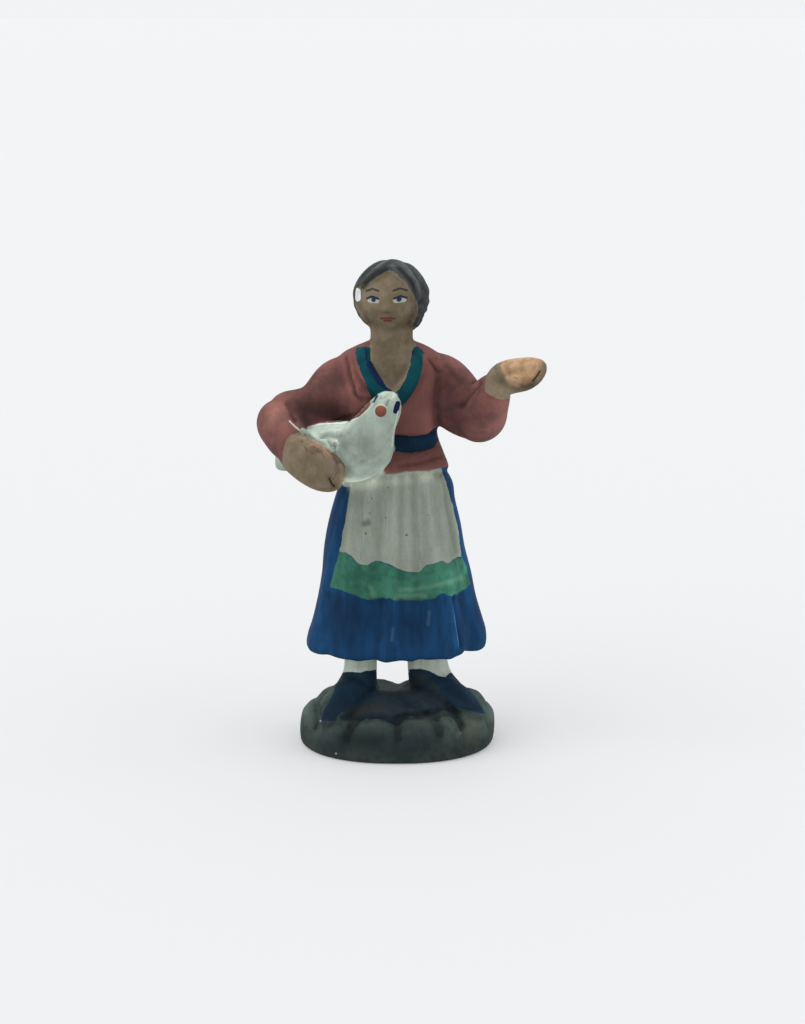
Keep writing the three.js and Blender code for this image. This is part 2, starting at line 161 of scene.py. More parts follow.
# Bodies carried along a line: each station is [x, y, z, half size across, half size deep]. The deep side
# looks along facing, and blunt is high for squarer ends.
limbs = {
    "rightBoot": {"facing": [0, 0, 1], "blunt": 4.2, "stations": [
        [-4.9, 1.6, 6.0, 2.6, 2.0], [-6.3, -2.2, 7.1, 2.8, 2.6], [-8.1, -5.8, 6.5, 2.8, 2.2],
        [-9.8, -9.5, 5.3, 2.4, 1.9]]},
    "leftBoot": {"facing": [0, 0, 1], "blunt": 4.2, "stations": [
        [3.0, 1.6, 6.0, 2.8, 2.0], [5.6, -1.6, 7.2, 3.1, 2.8], [8.8, -4.3, 6.6, 2.6, 2.3],
        [12.3, -6.6, 5.5, 2.1, 1.6]]},
    "rock": {"facing": [0, 0, 1], "blunt": 3.0, "stations": [  # rises between and before the boots
        [-8.6, -6.2, 5.0, 3.0, 1.6], [-4.2, -4.8, 5.3, 4.9, 2.8], [0.4, -4.3, 5.3, 4.8, 2.8],
        [5.0, -4.4, 5.4, 4.6, 3.1], [9.2, -5.4, 5.1, 3.0, 1.8]]},
    "rightUpperArm": {"facing": [0, -1, 0], "blunt": 3.2, "stations": [
        [-2.2, 0.6, 51.9, 4.6, 3.2], [-7.4, 0.4, 50.5, 4.75, 3.4], [-12.1, -0.4, 47.9, 3.3, 3.2],
        [-17.8, -1.6, 47.1, 4.65, 3.4]]},
    "rightForearm": {"facing": [-0.5, -0.6, 0.3], "blunt": 3.0, "stations": [
        [-16.9, 0.8, 47.0, 3.2, 3.2], [-16.2, -2.4, 46.3, 3.35, 3.3], [-15.0, -5.3, 44.3, 2.85, 2.8],
        [-13.9, -8.0, 42.7, 2.4, 2.3]]},
    "rightHand": {"facing": [-0.35, -1, 0.1], "blunt": 4.2, "stations": [
        [-15.6, -5.0, 44.0, 2.3, 2.1], [-13.3, -7.4, 42.7, 2.9, 2.2], [-10.8, -9.1, 41.3, 3.0, 2.0],
        [-7.2, -10.3, 39.3, 2.7, 1.5]]},
    "leftUpperArm": {"facing": [0, -1, 0], "blunt": 3.2, "stations": [
        [0.8, 0.4, 52.6, 3.6, 3.0], [5.4, 0.2, 51.5, 4.4, 3.5], [8.7, -0.9, 48.75, 4.15, 3.8],
        [13.1, -2.4, 45.0, 3.95, 3.5]]},
    "leftForearm": {"facing": [-0.6, -0.6, 0.4], "blunt": 3.0, "stations": [
        [10.7, 0.6, 45.3, 3.7, 3.5], [11.5, -2.4, 47.4, 3.8, 3.8], [12.7, -4.9, 50.2, 3.1, 3.0],
        [14.3, -7.2, 53.4, 2.85, 2.5]]},
    "leftHand": {"facing": [-0.15, -0.7, 0.72], "blunt": 4.6, "stations": [
        [12.7, -5.8, 51.9, 2.4, 2.2], [15.1, -7.0, 53.4, 2.6, 2.0], [17.7, -7.9, 54.1, 2.65, 1.4],
        [20.3, -8.6, 55.4, 1.75, 1.1]]},
    "gooseBody": {"facing": [-0.5, -1, 0], "blunt": 3.0, "stations": [
        [-17.0, 2.8, 39.0, 1.8, 1.3], [-14.2, 0.0, 41.5, 2.8, 2.4], [-9.4, -4.0, 42.7, 4.1, 3.2],
        [-5.0, -6.8, 42.9, 4.2, 3.4], [-0.6, -8.4, 43.2, 3.3, 2.6]]},
    "gooseNeck": {"facing": [0, -1, 0.2], "blunt": 4.5, "stations": [
        [-4.9, -5.6, 40.6, 3.6, 2.8], [-4.1, -7.5, 44.2, 3.9, 3.2], [-2.75, -8.9, 47.4, 2.8, 2.7],
        [-1.5, -9.7, 49.7, 2.3, 2.1], [-0.8, -10.0, 51.9, 2.0, 1.9]]},
    "gooseBeak": {"facing": [0, 0, 1], "blunt": 5, "stations": [
        [-1.5, -10.2, 49.9, 0.9, 0.9], [-1.85, -11.3, 49.75, 0.8, 0.75], [-2.2, -12.5, 49.6, 0.65, 0.6]]},
    "bun": {"facing": [0, 0, 1], "blunt": 2.0, "stations": [
        [-0.9, -0.6, 61.2, 2.8, 2.6], [-0.4, 2.6, 60.7, 4.1, 2.7], [-0.3, 6.2, 60.4, 3.2, 2.2]]},
}

# The head: centre, half sizes, how it is tipped and turned in degrees, and how thick the hair lies on it.
head = {"centre": [-0.75, -0.2, 63.55], "halfWidth": 4.7, "halfDepth": 4.6, "halfHeight": 4.6,
        "jawNarrowing": 0.18, "nod": 3, "tilt": -2, "turn": -9, "hair": 0.6, "hairNarrowing": 0.04}
# The opening that the hair leaves for the face: [across, height] from the head's centre. It widens forwards.
faceOpening = {
    "outline": [[0.4, 3.7], [-0.7, 3.15], [-1.9, 2.45], [-3.5, 1.7], [-4.4, 0.9], [-4.55, -0.9], [-3.3, -3.3],
                [-1.4, -6.0], [2.3, -5.6], [2.9, -3.6], [3.5, -2.2], [3.65, -0.9], [3.35, 0.4], [2.6, 1.7],
                [1.7, 2.75]],
    "back": 0.7, "front": -6.0, "middle": [0, -1.0], "flare": 0.25}
# Relief of the face: [across, height, half size across, half size high, how far it stands out].
features = [[0, 0.2, 0.6, 1.0, 0.4], [0, -0.85, 0.75, 0.5, 0.8], [-1.75, 0.35, 0.9, 0.55, -0.3],
            [1.75, 0.35, 0.9, 0.55, -0.3], [0, -2.35, 1.0, 0.45, 0.35], [0, -3.9, 1.2, 0.7, 0.5]]

# The collar: a closed band through these points, each with the way its face looks.
collar = {
    "halfBreadth": 1.05, "halfThickness": 0.55,
    "points": [[-0.6, -5.3, 50.3], [1.5, -5.2, 52.2], [2.65, -4.3, 54.2], [3.1, -2.2, 56.0],
               [2.2, 2.0, 56.6], [-0.8, 3.4, 56.7], [-4.0, 2.0, 56.6], [-5.0, -2.2, 55.95],
               [-4.5, -4.3, 54.2], [-3.0, -5.2, 52.2]],
    "facings": [[0, -1, 0.2], [0.2, -1, 0.35], [0.5, -0.9, 0.6], [0.7, -0.5, 0.9], [0.4, 0.6, 1],
                [0, 0.8, 1], [-0.4, 0.6, 1], [-0.7, -0.5, 0.9], [-0.5, -0.9, 0.6], [-0.2, -1, 0.35]]}

# Folds of the skirt: [angle in degrees, half width in degrees, height at the hem]. The back has even pleats.
folds = [[-155, 10, 0.3], [-119, 10, 0.4], [-90, 12, 0.45], [-53, 9, 0.9], [-33, 11, -0.8]]
backPleats = {"count": 9, "height": 0.3}
# The apron: a thin panel over the front of the skirt, wider towards its lower edge.
apron = {"top": 39.8, "bottom": 22.6, "halfTop": 6.3, "spread": 0.235, "centre": -0.15, "thickness": 0.35,
         "edge": 0.5}

nod, tilt, turnRound = np.radians([head["nod"], head["tilt"], head["turn"]])
headTurn = Matrix.Rotation(turnRound, 3, "Z") @ Matrix.Rotation(tilt, 3, "Y") @ Matrix.Rotation(nod, 3, "X")
headTurn = np.array(headTurn)


# Points round a form, row by row, as corners and faces. It ends in two poles, or closes on itself as a ring.
def closedForm(pointAt, around, rows, ring=False):
    turn = np.linspace(0, 2 * np.pi, around, endpoint=False)
    share = np.linspace(0, 1, rows, endpoint=False) if ring else np.linspace(0, 1, rows + 1)
    points = pointAt(*np.meshgrid(turn, share))
    if ring:
        index = np.arange(rows * around).reshape(rows, around)
        index = np.concatenate([index, index[:1]])
        corners = points.reshape(-1, 3)
    else:
        index = 1 + np.arange((rows - 1) * around).reshape(rows - 1, around)
        corners = np.concatenate([points[0, :1], points[1:-1].reshape(-1, 3), points[-1, :1]])
    beside = np.roll(index, -1, 1)
    faces = np.stack([index[:-1], beside[:-1], beside[1:], index[1:]], -1).reshape(-1, 4).tolist()
    if not ring:
        last = len(corners) - 1
        faces += np.stack([index[0] * 0, beside[0], index[0]], -1).tolist()
        faces += np.stack([index[-1], beside[-1], index[-1] * 0 + last], -1).tolist()
    return corners, faces


# The line of a carried body at shares of its length: place, heading, across side, deep side, half sizes.
def carriedLine(form, share):
    stations = np.array(form["stations"], float)
    line, heading = curveAt(stations[:, :3], share)
    heading = unit(heading)
    size, _ = curveAt(stations[:, 3:], share)
    facing = np.array(form["facing"], float)
    deepSide = unit(facing - heading * (heading @ facing)[..., None])
    taper = np.sqrt(np.maximum(1 - np.abs(2 * share - 1) ** form["blunt"], 0))[..., None]
    return line, heading, np.cross(deepSide, heading), deepSide, size * taper


# An oval section carried along a smooth line: line + across side x half width x cosine + deep side x half
# depth x sine, where both half sizes shrink to nothing at the ends.
def carried(form):
    def pointAt(turn, share):
        line, _, acrossSide, deepSide, size = carriedLine(form, (1 - np.cos(np.pi * share)) / 2)
        return (line + acrossSide * size[..., :1] * np.cos(turn)[..., None]
                + deepSide * size[..., 1:] * np.sin(turn)[..., None])
    return pointAt


# Level superellipses from the lowest to the highest level, closed by flat ends. A relief swells them.
def lofted(form, rows, relief=None):
    def pointAt(turn, share):
        level, _ = curveAt(form["levels"], (share * rows - 1) / (rows - 2))
        out = ((share > 0) & (share < 1)) * 1.0
        z, halfWidth, halfDepth, x, y = np.moveaxis(level, -1, 0)
        angle = (np.degrees(turn) + 180) % 360 - 180
        swell = relief(angle, z, halfWidth) if relief else 0
        if "hemRise" in form:
            hem = form["hemRise"]
            share = np.clip((hem["from"] - z) / hem["fade"], 0, 1)
            z = z + out * share * hem["height"] * bell(angle - hem["angle"], hem["half"])
        return np.stack([x + out * (halfWidth + swell) * squared(np.cos(turn), form["square"]),
                         y + out * (halfDepth + swell) * squared(np.sin(turn), form["square"]), z], -1)
    return pointAt


# How far a stone stands out at an angle round the mound: 1 at its middle, 0 at the joints beside it.
def stoneAt(angle):
    joints = np.array(mound["stoneJoints"], float)
    joints = np.concatenate([[joints[-1] - 360], joints, [joints[0] + 360]])
    after = np.clip(np.searchsorted(joints, angle), 1, len(joints) - 1)
    low, high = joints[after - 1], joints[after]
    return 1 - np.abs(2 * (angle - low) / (high - low) - 1) ** 2.2


# The mound: a loaf with a squared shoulder, where each stone's top swells out of the edge.
def moundPoint(turn, share):
    rows = np.array(mound["outline"], float)
    place = share * (len(rows) - 1)
    out, up, strength = (np.interp(place, np.arange(len(rows)), rows[:, k]) for k in range(3))
    stone = mound["stoneRelief"] * strength * (stoneAt((np.degrees(turn) + 180) % 360 - 180) - 0.6)
    z = up * mound["height"] + mound["stoneLift"] * stone
    x = (out * mound["halfWidth"] + stone) * squared(np.cos(turn), mound["square"])
    y = (out * mound["halfDepth"] + stone) * squared(np.sin(turn), mound["square"])
    return np.stack([mound["centre"] + mound["lean"] * z + x, y, z], -1)


# The skirt's folds, strongest at the hem, and the apron's step over the front.
def skirtRelief(angle, z, halfWidth):
    fall = np.clip((skirt["foldsStart"] - z) / (skirt["foldsStart"] - skirt["foldsFull"]), 0, 1)
    front = sum(height * bell(angle - middle, half) for middle, half, height in folds)
    back = backPleats["height"] * (np.cos(np.radians(angle * backPleats["count"])) - 1) * smooth(angle, 0, 25)
    x = halfWidth * squared(np.cos(np.radians(angle)), skirt["square"])
    halfApron = apron["halfTop"] + (apron["top"] - z) * apron["spread"]
    side = 1 - smooth(np.abs(x - apron["centre"]), halfApron - apron["edge"], halfApron)
    panel = np.where(angle < 0, side * smooth(z, apron["bottom"] - 0.2, apron["bottom"] + 0.2), 0)
    return (0.25 + 0.75 * fall) * (front + (angle > 0) * back) + apron["thickness"] * panel


# How far a place on the head lies inside the face opening, from its place in the head's own frame.
def insideFace(local):
    forwards = (faceOpening["back"] - local[:, 1]) / (faceOpening["back"] - faceOpening["front"])
    wider = np.maximum(1 + faceOpening["flare"] * forwards, 1)[:, None]
    middle = np.array(faceOpening["middle"])
    outline, _ = curveAt(faceOpening["outline"], np.linspace(0, 1, 60, endpoint=False), closed=True)
    inside = insideOf(middle + (local[:, [0, 2]] - middle) / wider, outline)
    return np.minimum(inside, faceOpening["back"] - local[:, 1])


# An egg the size of the head. Without hair it has the face's relief; with hair it stands out by the hair's
# thickness and sinks under the face inside the opening.
def headPoint(hair):
    def pointAt(turn, share):
        margin = head["hair"] * hair
        narrowing = head["hairNarrowing"] if hair else head["jawNarrowing"]
        side = turn - 0.45 * np.sin(turn)  # columns lie closer together at the front
        rise = np.pi * (share - 0.5)
        out = np.cos(rise)
        z = np.sin(rise) * (head["halfHeight"] + margin)
        low = smooth(-z, 0, head["halfHeight"])
        x = out * (head["halfWidth"] * (1 - narrowing * low) + margin) * np.sin(side)
        y = -out * (head["halfDepth"] * (1 - 0.5 * narrowing * low) + margin) * np.cos(side)
        local = np.stack([x, y, z], -1)
        if hair:
            sink = smooth(insideFace(local.reshape(-1, 3)).reshape(x.shape), -0.12, 0.12)
            local = local * (1 - sink * (margin + 0.5) / head["halfWidth"])[..., None]
        else:
            relief = sum(height * bell(x - middle, halfWide) * bell(z - level, halfHigh)
                         for middle, level, halfWide, halfHigh, height in features)
            local[..., 1] -= relief * smooth(out * np.cos(side), 0.1, 0.5)
        return local @ headTurn.T + np.array(head["centre"])
    return pointAt


# The collar's line at shares of its length: place, across side and deep side.
def collarLine(share):
    line, heading = curveAt(collar["points"], share, closed=True)
    facing, _ = curveAt(collar["facings"], share, closed=True)
    heading = unit(heading)
    deepSide = unit(facing - heading * (facing * heading).sum(-1, keepdims=True))
    return line, np.cross(deepSide, heading), deepSide


# A flat band with squared edges, carried round the neck as a ring.
def collarPoint(turn, share):
    line, acrossSide, deepSide = collarLine(share)
    return (line + acrossSide * collar["halfBreadth"] * squared(np.cos(turn), 3)[..., None]
            + deepSide * collar["halfThickness"] * squared(np.sin(turn), 3)[..., None])


forms = [
    closedForm(moundPoint, 360, 100),
    closedForm(lofted(rightLeg, 24), 48, 24),
    closedForm(lofted(leftLeg, 24), 48, 24),
    closedForm(lofted(skirt, 90, skirtRelief), 300, 90),
    closedForm(lofted(jacket, 60), 120, 60),
    closedForm(lofted(neck, 30), 60, 30),
    closedForm(collarPoint, 32, 160, ring=True),
    closedForm(headPoint(0), 160, 100),
    closedForm(headPoint(1), 240, 160),
] + [closedForm(carried(form), 56, 56) for form in limbs.values()]

# One skin over all the forms: a net of even squares from the Remesh modifier, then eased like handled clay.
clay = {"square": 0.29, "easing": 5, "inwards": 0.5, "outwards": 0.52}


def coveredBy(forms):
    corners, faces, start = [], [], 0
    for formCorners, formFaces in forms:
        corners.append(formCorners)
        faces += [[start + corner for corner in face] for face in formFaces]
        start += len(formCorners)
    rough = bpy.data.meshes.new("rough")
    rough.from_pydata(np.concatenate(corners).tolist(), [], faces)
    roughObject = bpy.data.objects.new("rough", rough)
    bpy.context.scene.collection.objects.link(roughObject)
    skin = roughObject.modifiers.new("skin", "REMESH")
    skin.mode = "VOXEL"
    skin.voxel_size = clay["square"]
    mesh = bpy.data.meshes.new_from_object(roughObject.evaluated_get(bpy.context.evaluated_depsgraph_get()))
    bpy.data.objects.remove(roughObject)
    bpy.data.meshes.remove(rough)
    return mesh


# The corners of a mesh, and its normals once corners are written back.
def cornersOf(mesh):
    places = np.empty(len(mesh.vertices) * 3, np.float32)
    mesh.vertices.foreach_get("co", places)
    return places.reshape(-1, 3).astype(float)


def normalsAt(mesh, places):
    mesh.vertices.foreach_set("co", places.astype(np.float32).ravel())
    mesh.update()
    normals = np.empty(len(places) * 3, np.float32)
    mesh.vertex_normals.foreach_get("vector", normals)
    return normals.reshape(-1, 3).astype(float)


figureMesh = coveredBy(forms)
places = cornersOf(figureMesh)
edges = np.empty(len(figureMesh.edges) * 2, np.int32)
figureMesh.edges.foreach_get("vertices", edges)
edges = edges.reshape(-1, 2)
fromCorner = np.concatenate([edges[:, 0], edges[:, 1]])
toCorner = np.concatenate([edges[:, 1], edges[:, 0]])
neighbours = np.bincount(fromCorner, minlength=len(places))


# The mean of each corner's neighbours.
def meanRound(values):
    return np.stack([np.bincount(fromCorner, values[toCorner, k], len(values)) / neighbours
                     for k in range(values.shape[1])], -1)


for step in range(clay["easing"]):  # a step outwards after every second one inwards keeps the volume
    places += clay["inwards"] * (meanRound(places) - places)
    if step % 2:
        places -= clay["outwards"] * (meanRound(places) - places)
print("stage: clay,", len(places), "corners")


# How far a point lies outside a carried body, from the nearest place on its line.
def outsideCarried(form, points):
    stops = np.linspace(0.03, 0.97, 32)
    line, heading, acrossSide, deepSide, size = carriedLine(form, stops)
    near = ((points[:, None] - line) ** 2).sum(-1).argmin(1)
    away = points - line[near]
    across = (away * acrossSide[near]).sum(1) / size[near, 0]
    deep = (away * deepSide[near]).sum(1) / size[near, 1]
    ahead = (away * heading[near]).sum(1)
    beyond = np.maximum(np.where(near == 0, -ahead, np.where(near == len(stops) - 1, ahead, 0)), 0)
    return (np.hypot(across, deep) - 1) * size[near].min(1) + beyond


# How far a point lies outside a body with level sections.
def outsideLofted(form, points):
    level, _ = curveAt(form["levels"], np.linspace(0, 1, 80))
    halfWidth, halfDepth, x, y = (np.interp(points[:, 2], level[:, 0], level[:, k]) for k in range(1, 5))
    power = form["square"]
    out = np.abs((points[:, 0] - x) / halfWidth) ** power + np.abs((points[:, 1] - y) / halfDepth) ** power
    beside = (out ** (1 / power) - 1) * np.minimum(halfWidth, halfDepth)
    beyond = np.maximum(level[0, 0] - points[:, 2], points[:, 2] - level[-1, 0])
    return np.hypot(np.maximum(beside, 0), np.maximum(beyond, 0)) + np.minimum(np.maximum(beside, beyond), 0)


# How far a point lies outside a flat ring.
def outsideCollar(points):
    line, acrossSide, deepSide = collarLine(np.linspace(0, 1, 120, endpoint=False))
    near = ((points[:, None] - line) ** 2).sum(-1).argmin(1)
    away = points - line[near]
    across = np.abs((away * acrossSide[near]).sum(1)) / collar["halfBreadth"]
    deep = np.abs((away * deepSide[near]).sum(1)) / collar["halfThickness"]
    return ((across ** 3 + deep ** 3) ** (1 / 3) - 1) * collar["halfThickness"]


# Where a place lies in the head's own frame, and how far it is outside the head.
inHead = (places - np.array(head["centre"])) @ headTurn
headSizes = np.array([head["halfWidth"], head["halfDepth"], head["halfHeight"]]) + head["hair"] / 2
outside = {name: outsideCarried(form, places) for name, form in limbs.items()}
outside.update({name: outsideLofted(form, places) for name, form in {
    "skirt": skirt, "jacket": jacket, "neck": neck, "rightLeg": rightLeg, "leftLeg": leftLeg}.items()})
outside["collar"] = outsideCollar(places)
outside["head"] = (np.linalg.norm(inHead / headSizes, axis=1) - 1) * head["halfHeight"]
outside["mound"] = np.maximum(places[:, 2] - mound["height"] - 0.2, -3.0)


# How surely a place belongs to some of the forms rather than to the others: positive inside, in mm.
def ownedBy(*names):
    own = np.min([outside[name] for name in names], axis=0)
    rest = np.min([gap for name, gap in outside.items() if name not in names], axis=0)
    return rest - own


goose = ownedBy("gooseBody", "gooseNeck", "gooseBeak")
arms = ownedBy("rightUpperArm", "rightForearm", "leftUpperArm", "leftForearm", "rightHand", "leftHand")
hairMass = ownedBy("head", "bun")
legs = ownedBy("rightLeg", "leftLeg", "rightBoot", "leftBoot")
torso = ownedBy("skirt", "jacket", "collar", "neck")
print("stage: forms told apart")

# Where the camera sees each place, in mm across and up on the upright plane through its target.
fromCamera = places - cameraPlace
scale = camera["distance"] / (fromCamera @ forward)
seen = np.stack([fromCamera[:, 0], fromCamera @ upward], -1) * scale[:, None]


# How far places are seen from a line, or inside an outline, that is drawn over the photo.
def seenGap(line):
    return lineGap(seen, fromPhoto(line))


def seenInside(outline):
    return insideOf(seen, fromPhoto(outline))


normals = normalsAt(figureMesh, places)
facingFront = smooth(-normals @ forward, 0.0, 0.35)
x, y, z = places.T

# Strokes pressed into the clay or raised on it, drawn over the photo: line in its pixels, half width and
# height in mm.
pressed = {
    "crook of the left arm": [([(478, 382), (472.7, 391), (467.4, 397), (462, 406.5)], 0.4, -0.65),
        ([(475, 392), (469, 401), (464, 410)], 0.35, 0.25)],
    "left armpit": [([(436, 361), (438, 380), (437, 400), (437, 421)], 0.5, -0.25)],
    "folds beside the collar": [([(345, 358), (348, 366), (350, 376), (352, 386)], 0.28, -0.42),
        ([(349, 360), (351.5, 370), (353.5, 380)], 0.22, 0.22),
        ([(353, 388), (354, 394), (357, 398)], 0.25, -0.42), ([(357.5, 388), (359.5, 394)], 0.22, 0.3),
        ([(357, 398), (363, 394), (369, 397)], 0.22, 0.18), ([(360, 401), (368, 400)], 0.25, -0.15)],
    "folds at the left shoulder": [([(431, 360), (436, 367), (440, 372)], 0.28, -0.4),
        ([(447, 366), (455, 376), (462, 383)], 0.4, -0.18), ([(452, 366), (461, 376)], 0.4, 0.14)],
    "crook of the right arm": [([(288, 404), (293, 412), (296, 420)], 0.4, -0.35)],
    "hem of the jacket": [([(400, 467), (420, 464), (441, 457)], 0.3, -0.22),
        ([(400, 462), (425, 459), (438, 453)], 0.35, 0.15)],
    "edges of the belt": [([(396, 436), (415, 436.5), (427, 436), (434, 431)], 0.2, -0.25),
        ([(396, 453), (415, 453.5), (428, 450.5), (436, 446)], 0.2, -0.25)],
    "open hand": [([(540, 371), (537, 376), (533.4, 380.7)], 0.2, -0.4),
        ([(509, 373), (522, 369.5), (534, 366.5)], 0.9, -0.4),
        ([(498, 366), (504, 377), (512, 386), (524, 386)], 0.4, 0.2)],
    "fingers on the goose": [([(329, 478), (331.5, 484), (334.5, 488)], 0.18, -0.4),
        ([(337, 473), (333, 480)], 0.16, -0.22), ([(339, 462), (337, 470)], 0.3, -0.15)],
    "knuckles": [([(313, 447.5)], 0.28, 0.28), ([(319.5, 447)], 0.24, 0.2), ([(326, 448)], 0.35, 0.28),
        ([(316.5, 451), (321, 452)], 0.2, -0.25), ([(301.5, 441)], 0.16, -0.3)],
    "hand against the goose": [([(302, 431), (312, 440), (322, 444), (331, 451), (340, 463)], 0.22, -0.3),
        ([(320, 438), (327, 435), (333, 437)], 0.22, -0.28),
        ([(322, 434), (330, 431.5), (340, 432)], 0.25, 0.22)],
    "curl of down": [([(332, 441), (337.5, 442), (339, 447), (336, 451)], 0.22, 0.32),
        ([(333, 445), (334.5, 449)], 0.2, -0.35)],
    "goose's back": [([(352, 424), (344, 429), (333, 430)], 0.4, 0.12),
        ([(350, 431), (343, 436), (338, 437)], 0.35, -0.12)],
    "goose's neck against the jacket": [
        ([(340, 419.5), (358, 414.5), (366, 407.5), (372, 398.5)], 0.3, -0.25)],
    "goose's breast": [([(360, 432), (352, 440), (345, 446)], 0.5, -0.1),
        ([(366, 445), (355, 453), (347, 460)], 0.5, 0.1),
        ([(372, 455), (360, 465), (350, 470)], 0.45, -0.12),
        ([(378, 430), (376, 445), (370, 458)], 0.6, 0.1)],
    "goose's crown": [([(380, 398), (386, 398)], 0.18, -0.22), ([(384, 394), (389, 393.5)], 0.2, 0.22),
        ([(392, 392.5), (396, 396)], 0.2, 0.2), ([(389, 399), (387, 405)], 0.2, -0.25),
        ([(391, 396)], 0.2, -0.2)],
    "joints between the stones": [
        ([(351, 727), (359, 719.5), (378, 716.5), (390, 718.5), (397, 722), (402, 716.5), (413, 714.5),
          (427, 713.5), (436, 716.5), (441, 711.5), (449, 711.5), (456, 716),
          (460, 724)], 0.45, -0.3), ([(397, 718), (397.5, 729), (398.5, 738)], 0.5, -0.28),
        ([(437, 716), (438.5, 724), (441, 734)], 0.45, -0.3),
        ([(455, 712), (458.5, 720), (461, 728)], 0.4, -0.3),
        ([(352, 724), (348, 733), (347, 741)], 0.5, -0.2),
        ([(460, 722), (464, 726), (470, 726)], 0.35, -0.2), ([(314, 700.5), (328, 701.5)], 0.3, -0.25),
        ([(316, 705), (317, 714), (315, 727)], 0.4, -0.25),
        ([(400, 697), (411, 705), (421, 710), (428, 713)], 0.4, -0.2),
        ([(428, 713), (447, 707), (461, 716)], 0.35, -0.18),
        ([(402, 716), (414, 716.5), (428, 713)], 0.35, -0.18),
        ([(447, 703), (458, 712), (468, 711)], 0.35, -0.25)],
    "pleats of the skirt": [([(454, 598), (457, 615), (461.7, 647)], 0.28, -0.45),
        ([(451, 598), (454, 618), (457.5, 648)], 0.3, 0.3), ([(382, 600), (380, 640)], 0.7, -0.2),
        ([(394, 600), (394, 645)], 0.6, 0.2), ([(410, 600), (411, 648)], 0.7, -0.2),
        ([(331, 560), (327, 600), (322, 640)], 0.6, -0.25), ([(430, 600), (434, 645)], 0.7, 0.18)],
}
# Fine pleats down apron and skirt: each line has its x at the top and at the foot, and its height.
pleats = {"top": 39.6, "foot": 14.0, "halfWidth": 0.6,
          "lines": [(-6.6, -9.6, -0.2), (-3.65, -5.3, 0.15), (-2.0, -3.2, -0.13), (-0.07, -1.5, 0.2),
                    (0.4, 0.8, -0.12), (1.6, 1.9, 0.1), (2.2, 3.2, -0.2), (3.9, 7.5, 0.22),
                    (5.4, 8.2, -0.18)]}
# Strands of hair: their height, how many there are round the head, the bun's middle in the head's own frame,
# how far behind it the axis lies that they fan out from, and the width of one turn of the bun's coil.
strands = {"height": 0.07, "count": 30, "bun": (0.45, 6.4, -3.1), "axis": 1.4, "coil": 1.2}

# Strands run from the parting down the sides and back to the bun, fanning out from it: above 0 on a strand,
# below 0 between two. Behind the head they come down to it, and on the bun they are wound into a coil.
across, back, up = (inHead - np.array(strands["bun"])).T
sides = np.arctan2(up, strands["axis"] - back) + 0.12 * np.abs(across)
behind = smooth(back, -5, -2.4)
fan = strands["count"] * (sides * (1 - behind) + 0.8 * np.arctan2(across, up + 0.3) * behind)
onBun = smooth(ownedBy("bun"), -0.3, 0.3) * smooth(back, -3.4, -1.9)
coil = 2 * np.pi * np.hypot(across, up) / strands["coil"] + np.arctan2(across, up)
comb = np.sin(fan + 0.8 * np.sin(3 * sides + across)) * (1 - onBun) + np.sin(coil) * onBun
comb *= smooth(hairMass, 0, 0.4) * smooth(-insideFace(inHead), 0.1, 0.5)
comb *= smooth(np.hypot(up, strands["axis"] - back), 0.5, 2)


# All relief finer than the forms, in mm along the surface's own outward direction.
def fineRelief():
    relief = np.zeros(len(places))
    for strokes in pressed.values():
        for line, half, height in strokes:
            relief += height * bell(seenGap(line), half) * facingFront
    down = np.clip((pleats["top"] - z) / (pleats["top"] - pleats["foot"]), 0, 1)
    front = smooth(-y, 1.0, 3.0) * smooth(torso, 0, 0.4) * (z < apron["top"])
    for top, foot, height in pleats["lines"]:
        relief += height * bell(x - top - (foot - top) * down, pleats["halfWidth"] * (1 + 0.4 * down)) * front
    return relief + strands["height"] * comb


places += fineRelief()[:, None] * normals
normals = normalsAt(figureMesh, places)
print("stage: fine relief")

# Painted areas. Each is a distance in mm, positive inside the area, kept on the corners for the material.
x, y, z = places.T
backSide = smooth(y, -1.5, 1.0)
# Edges drawn over the photo in its pixels, from left to right, or for the apron's sides from their foot up.
drawnEdges = {
    "greenTop": [(338.3, 552), (345, 553), (350, 555), (353.3, 558), (355.8, 561.7), (360, 564.2),
        (365, 565.3), (368.3, 565), (371.7, 562.5), (375.8, 560.7), (380.8, 561.7), (386.7, 563.7),
        (393.3, 566.3), (398.3, 569.2), (405, 571.2), (411.7, 572.2), (419.2, 572.5), (421.7, 570.8),
        (423.3, 567.5), (427.5, 565), (435, 563.3), (440.8, 561.2), (444.2, 561.3), (446.7, 563.3),
        (450, 563), (452.5, 560), (456.7, 557.5), (462.5, 557.5)],
    "greenFoot": [(328, 587.5), (333.3, 588.3), (340, 590), (345, 591.7), (353.3, 594.7), (360, 597.2),
        (366.7, 599.2), (371.7, 600), (374.2, 598.3), (378.3, 599.2), (383.3, 598.3), (387.5, 598.7),
        (390, 597), (392.5, 598.7), (396.7, 600), (400, 597.5), (403.3, 599.7), (408.3, 600.3),
        (413.3, 600.8), (421.7, 600.8), (425.8, 599.2), (431.7, 598.7), (435, 598.3), (436.7, 595.8),
        (440.8, 593), (445, 593.7), (447.5, 595.8), (452.5, 596.7), (455, 594.2), (456.7, 595),
        (461.7, 590.8), (466.7, 588), (470.8, 584.2)],
    "apronLeft": [(315, 648), (328, 587.5), (333.7, 568.3), (338.3, 552), (340.8, 540), (344.2, 520),
        (347.5, 500), (349.5, 487.5), (352, 467)],
    "apronRight": [(488, 646), (470.8, 584.2), (466.7, 566.7), (461.7, 555), (458.3, 530), (455, 515),
        (450, 497.5), (445.8, 481.7), (440.8, 467.5)],
    "bootTop": [(344.7, 672.2), (360, 671.8), (374, 669.4), (391, 669.2), (408.6, 669), (420.5, 668.7),
        (430, 670.8), (438.7, 675.7), (445.7, 676.7), (450, 672.6)],
}
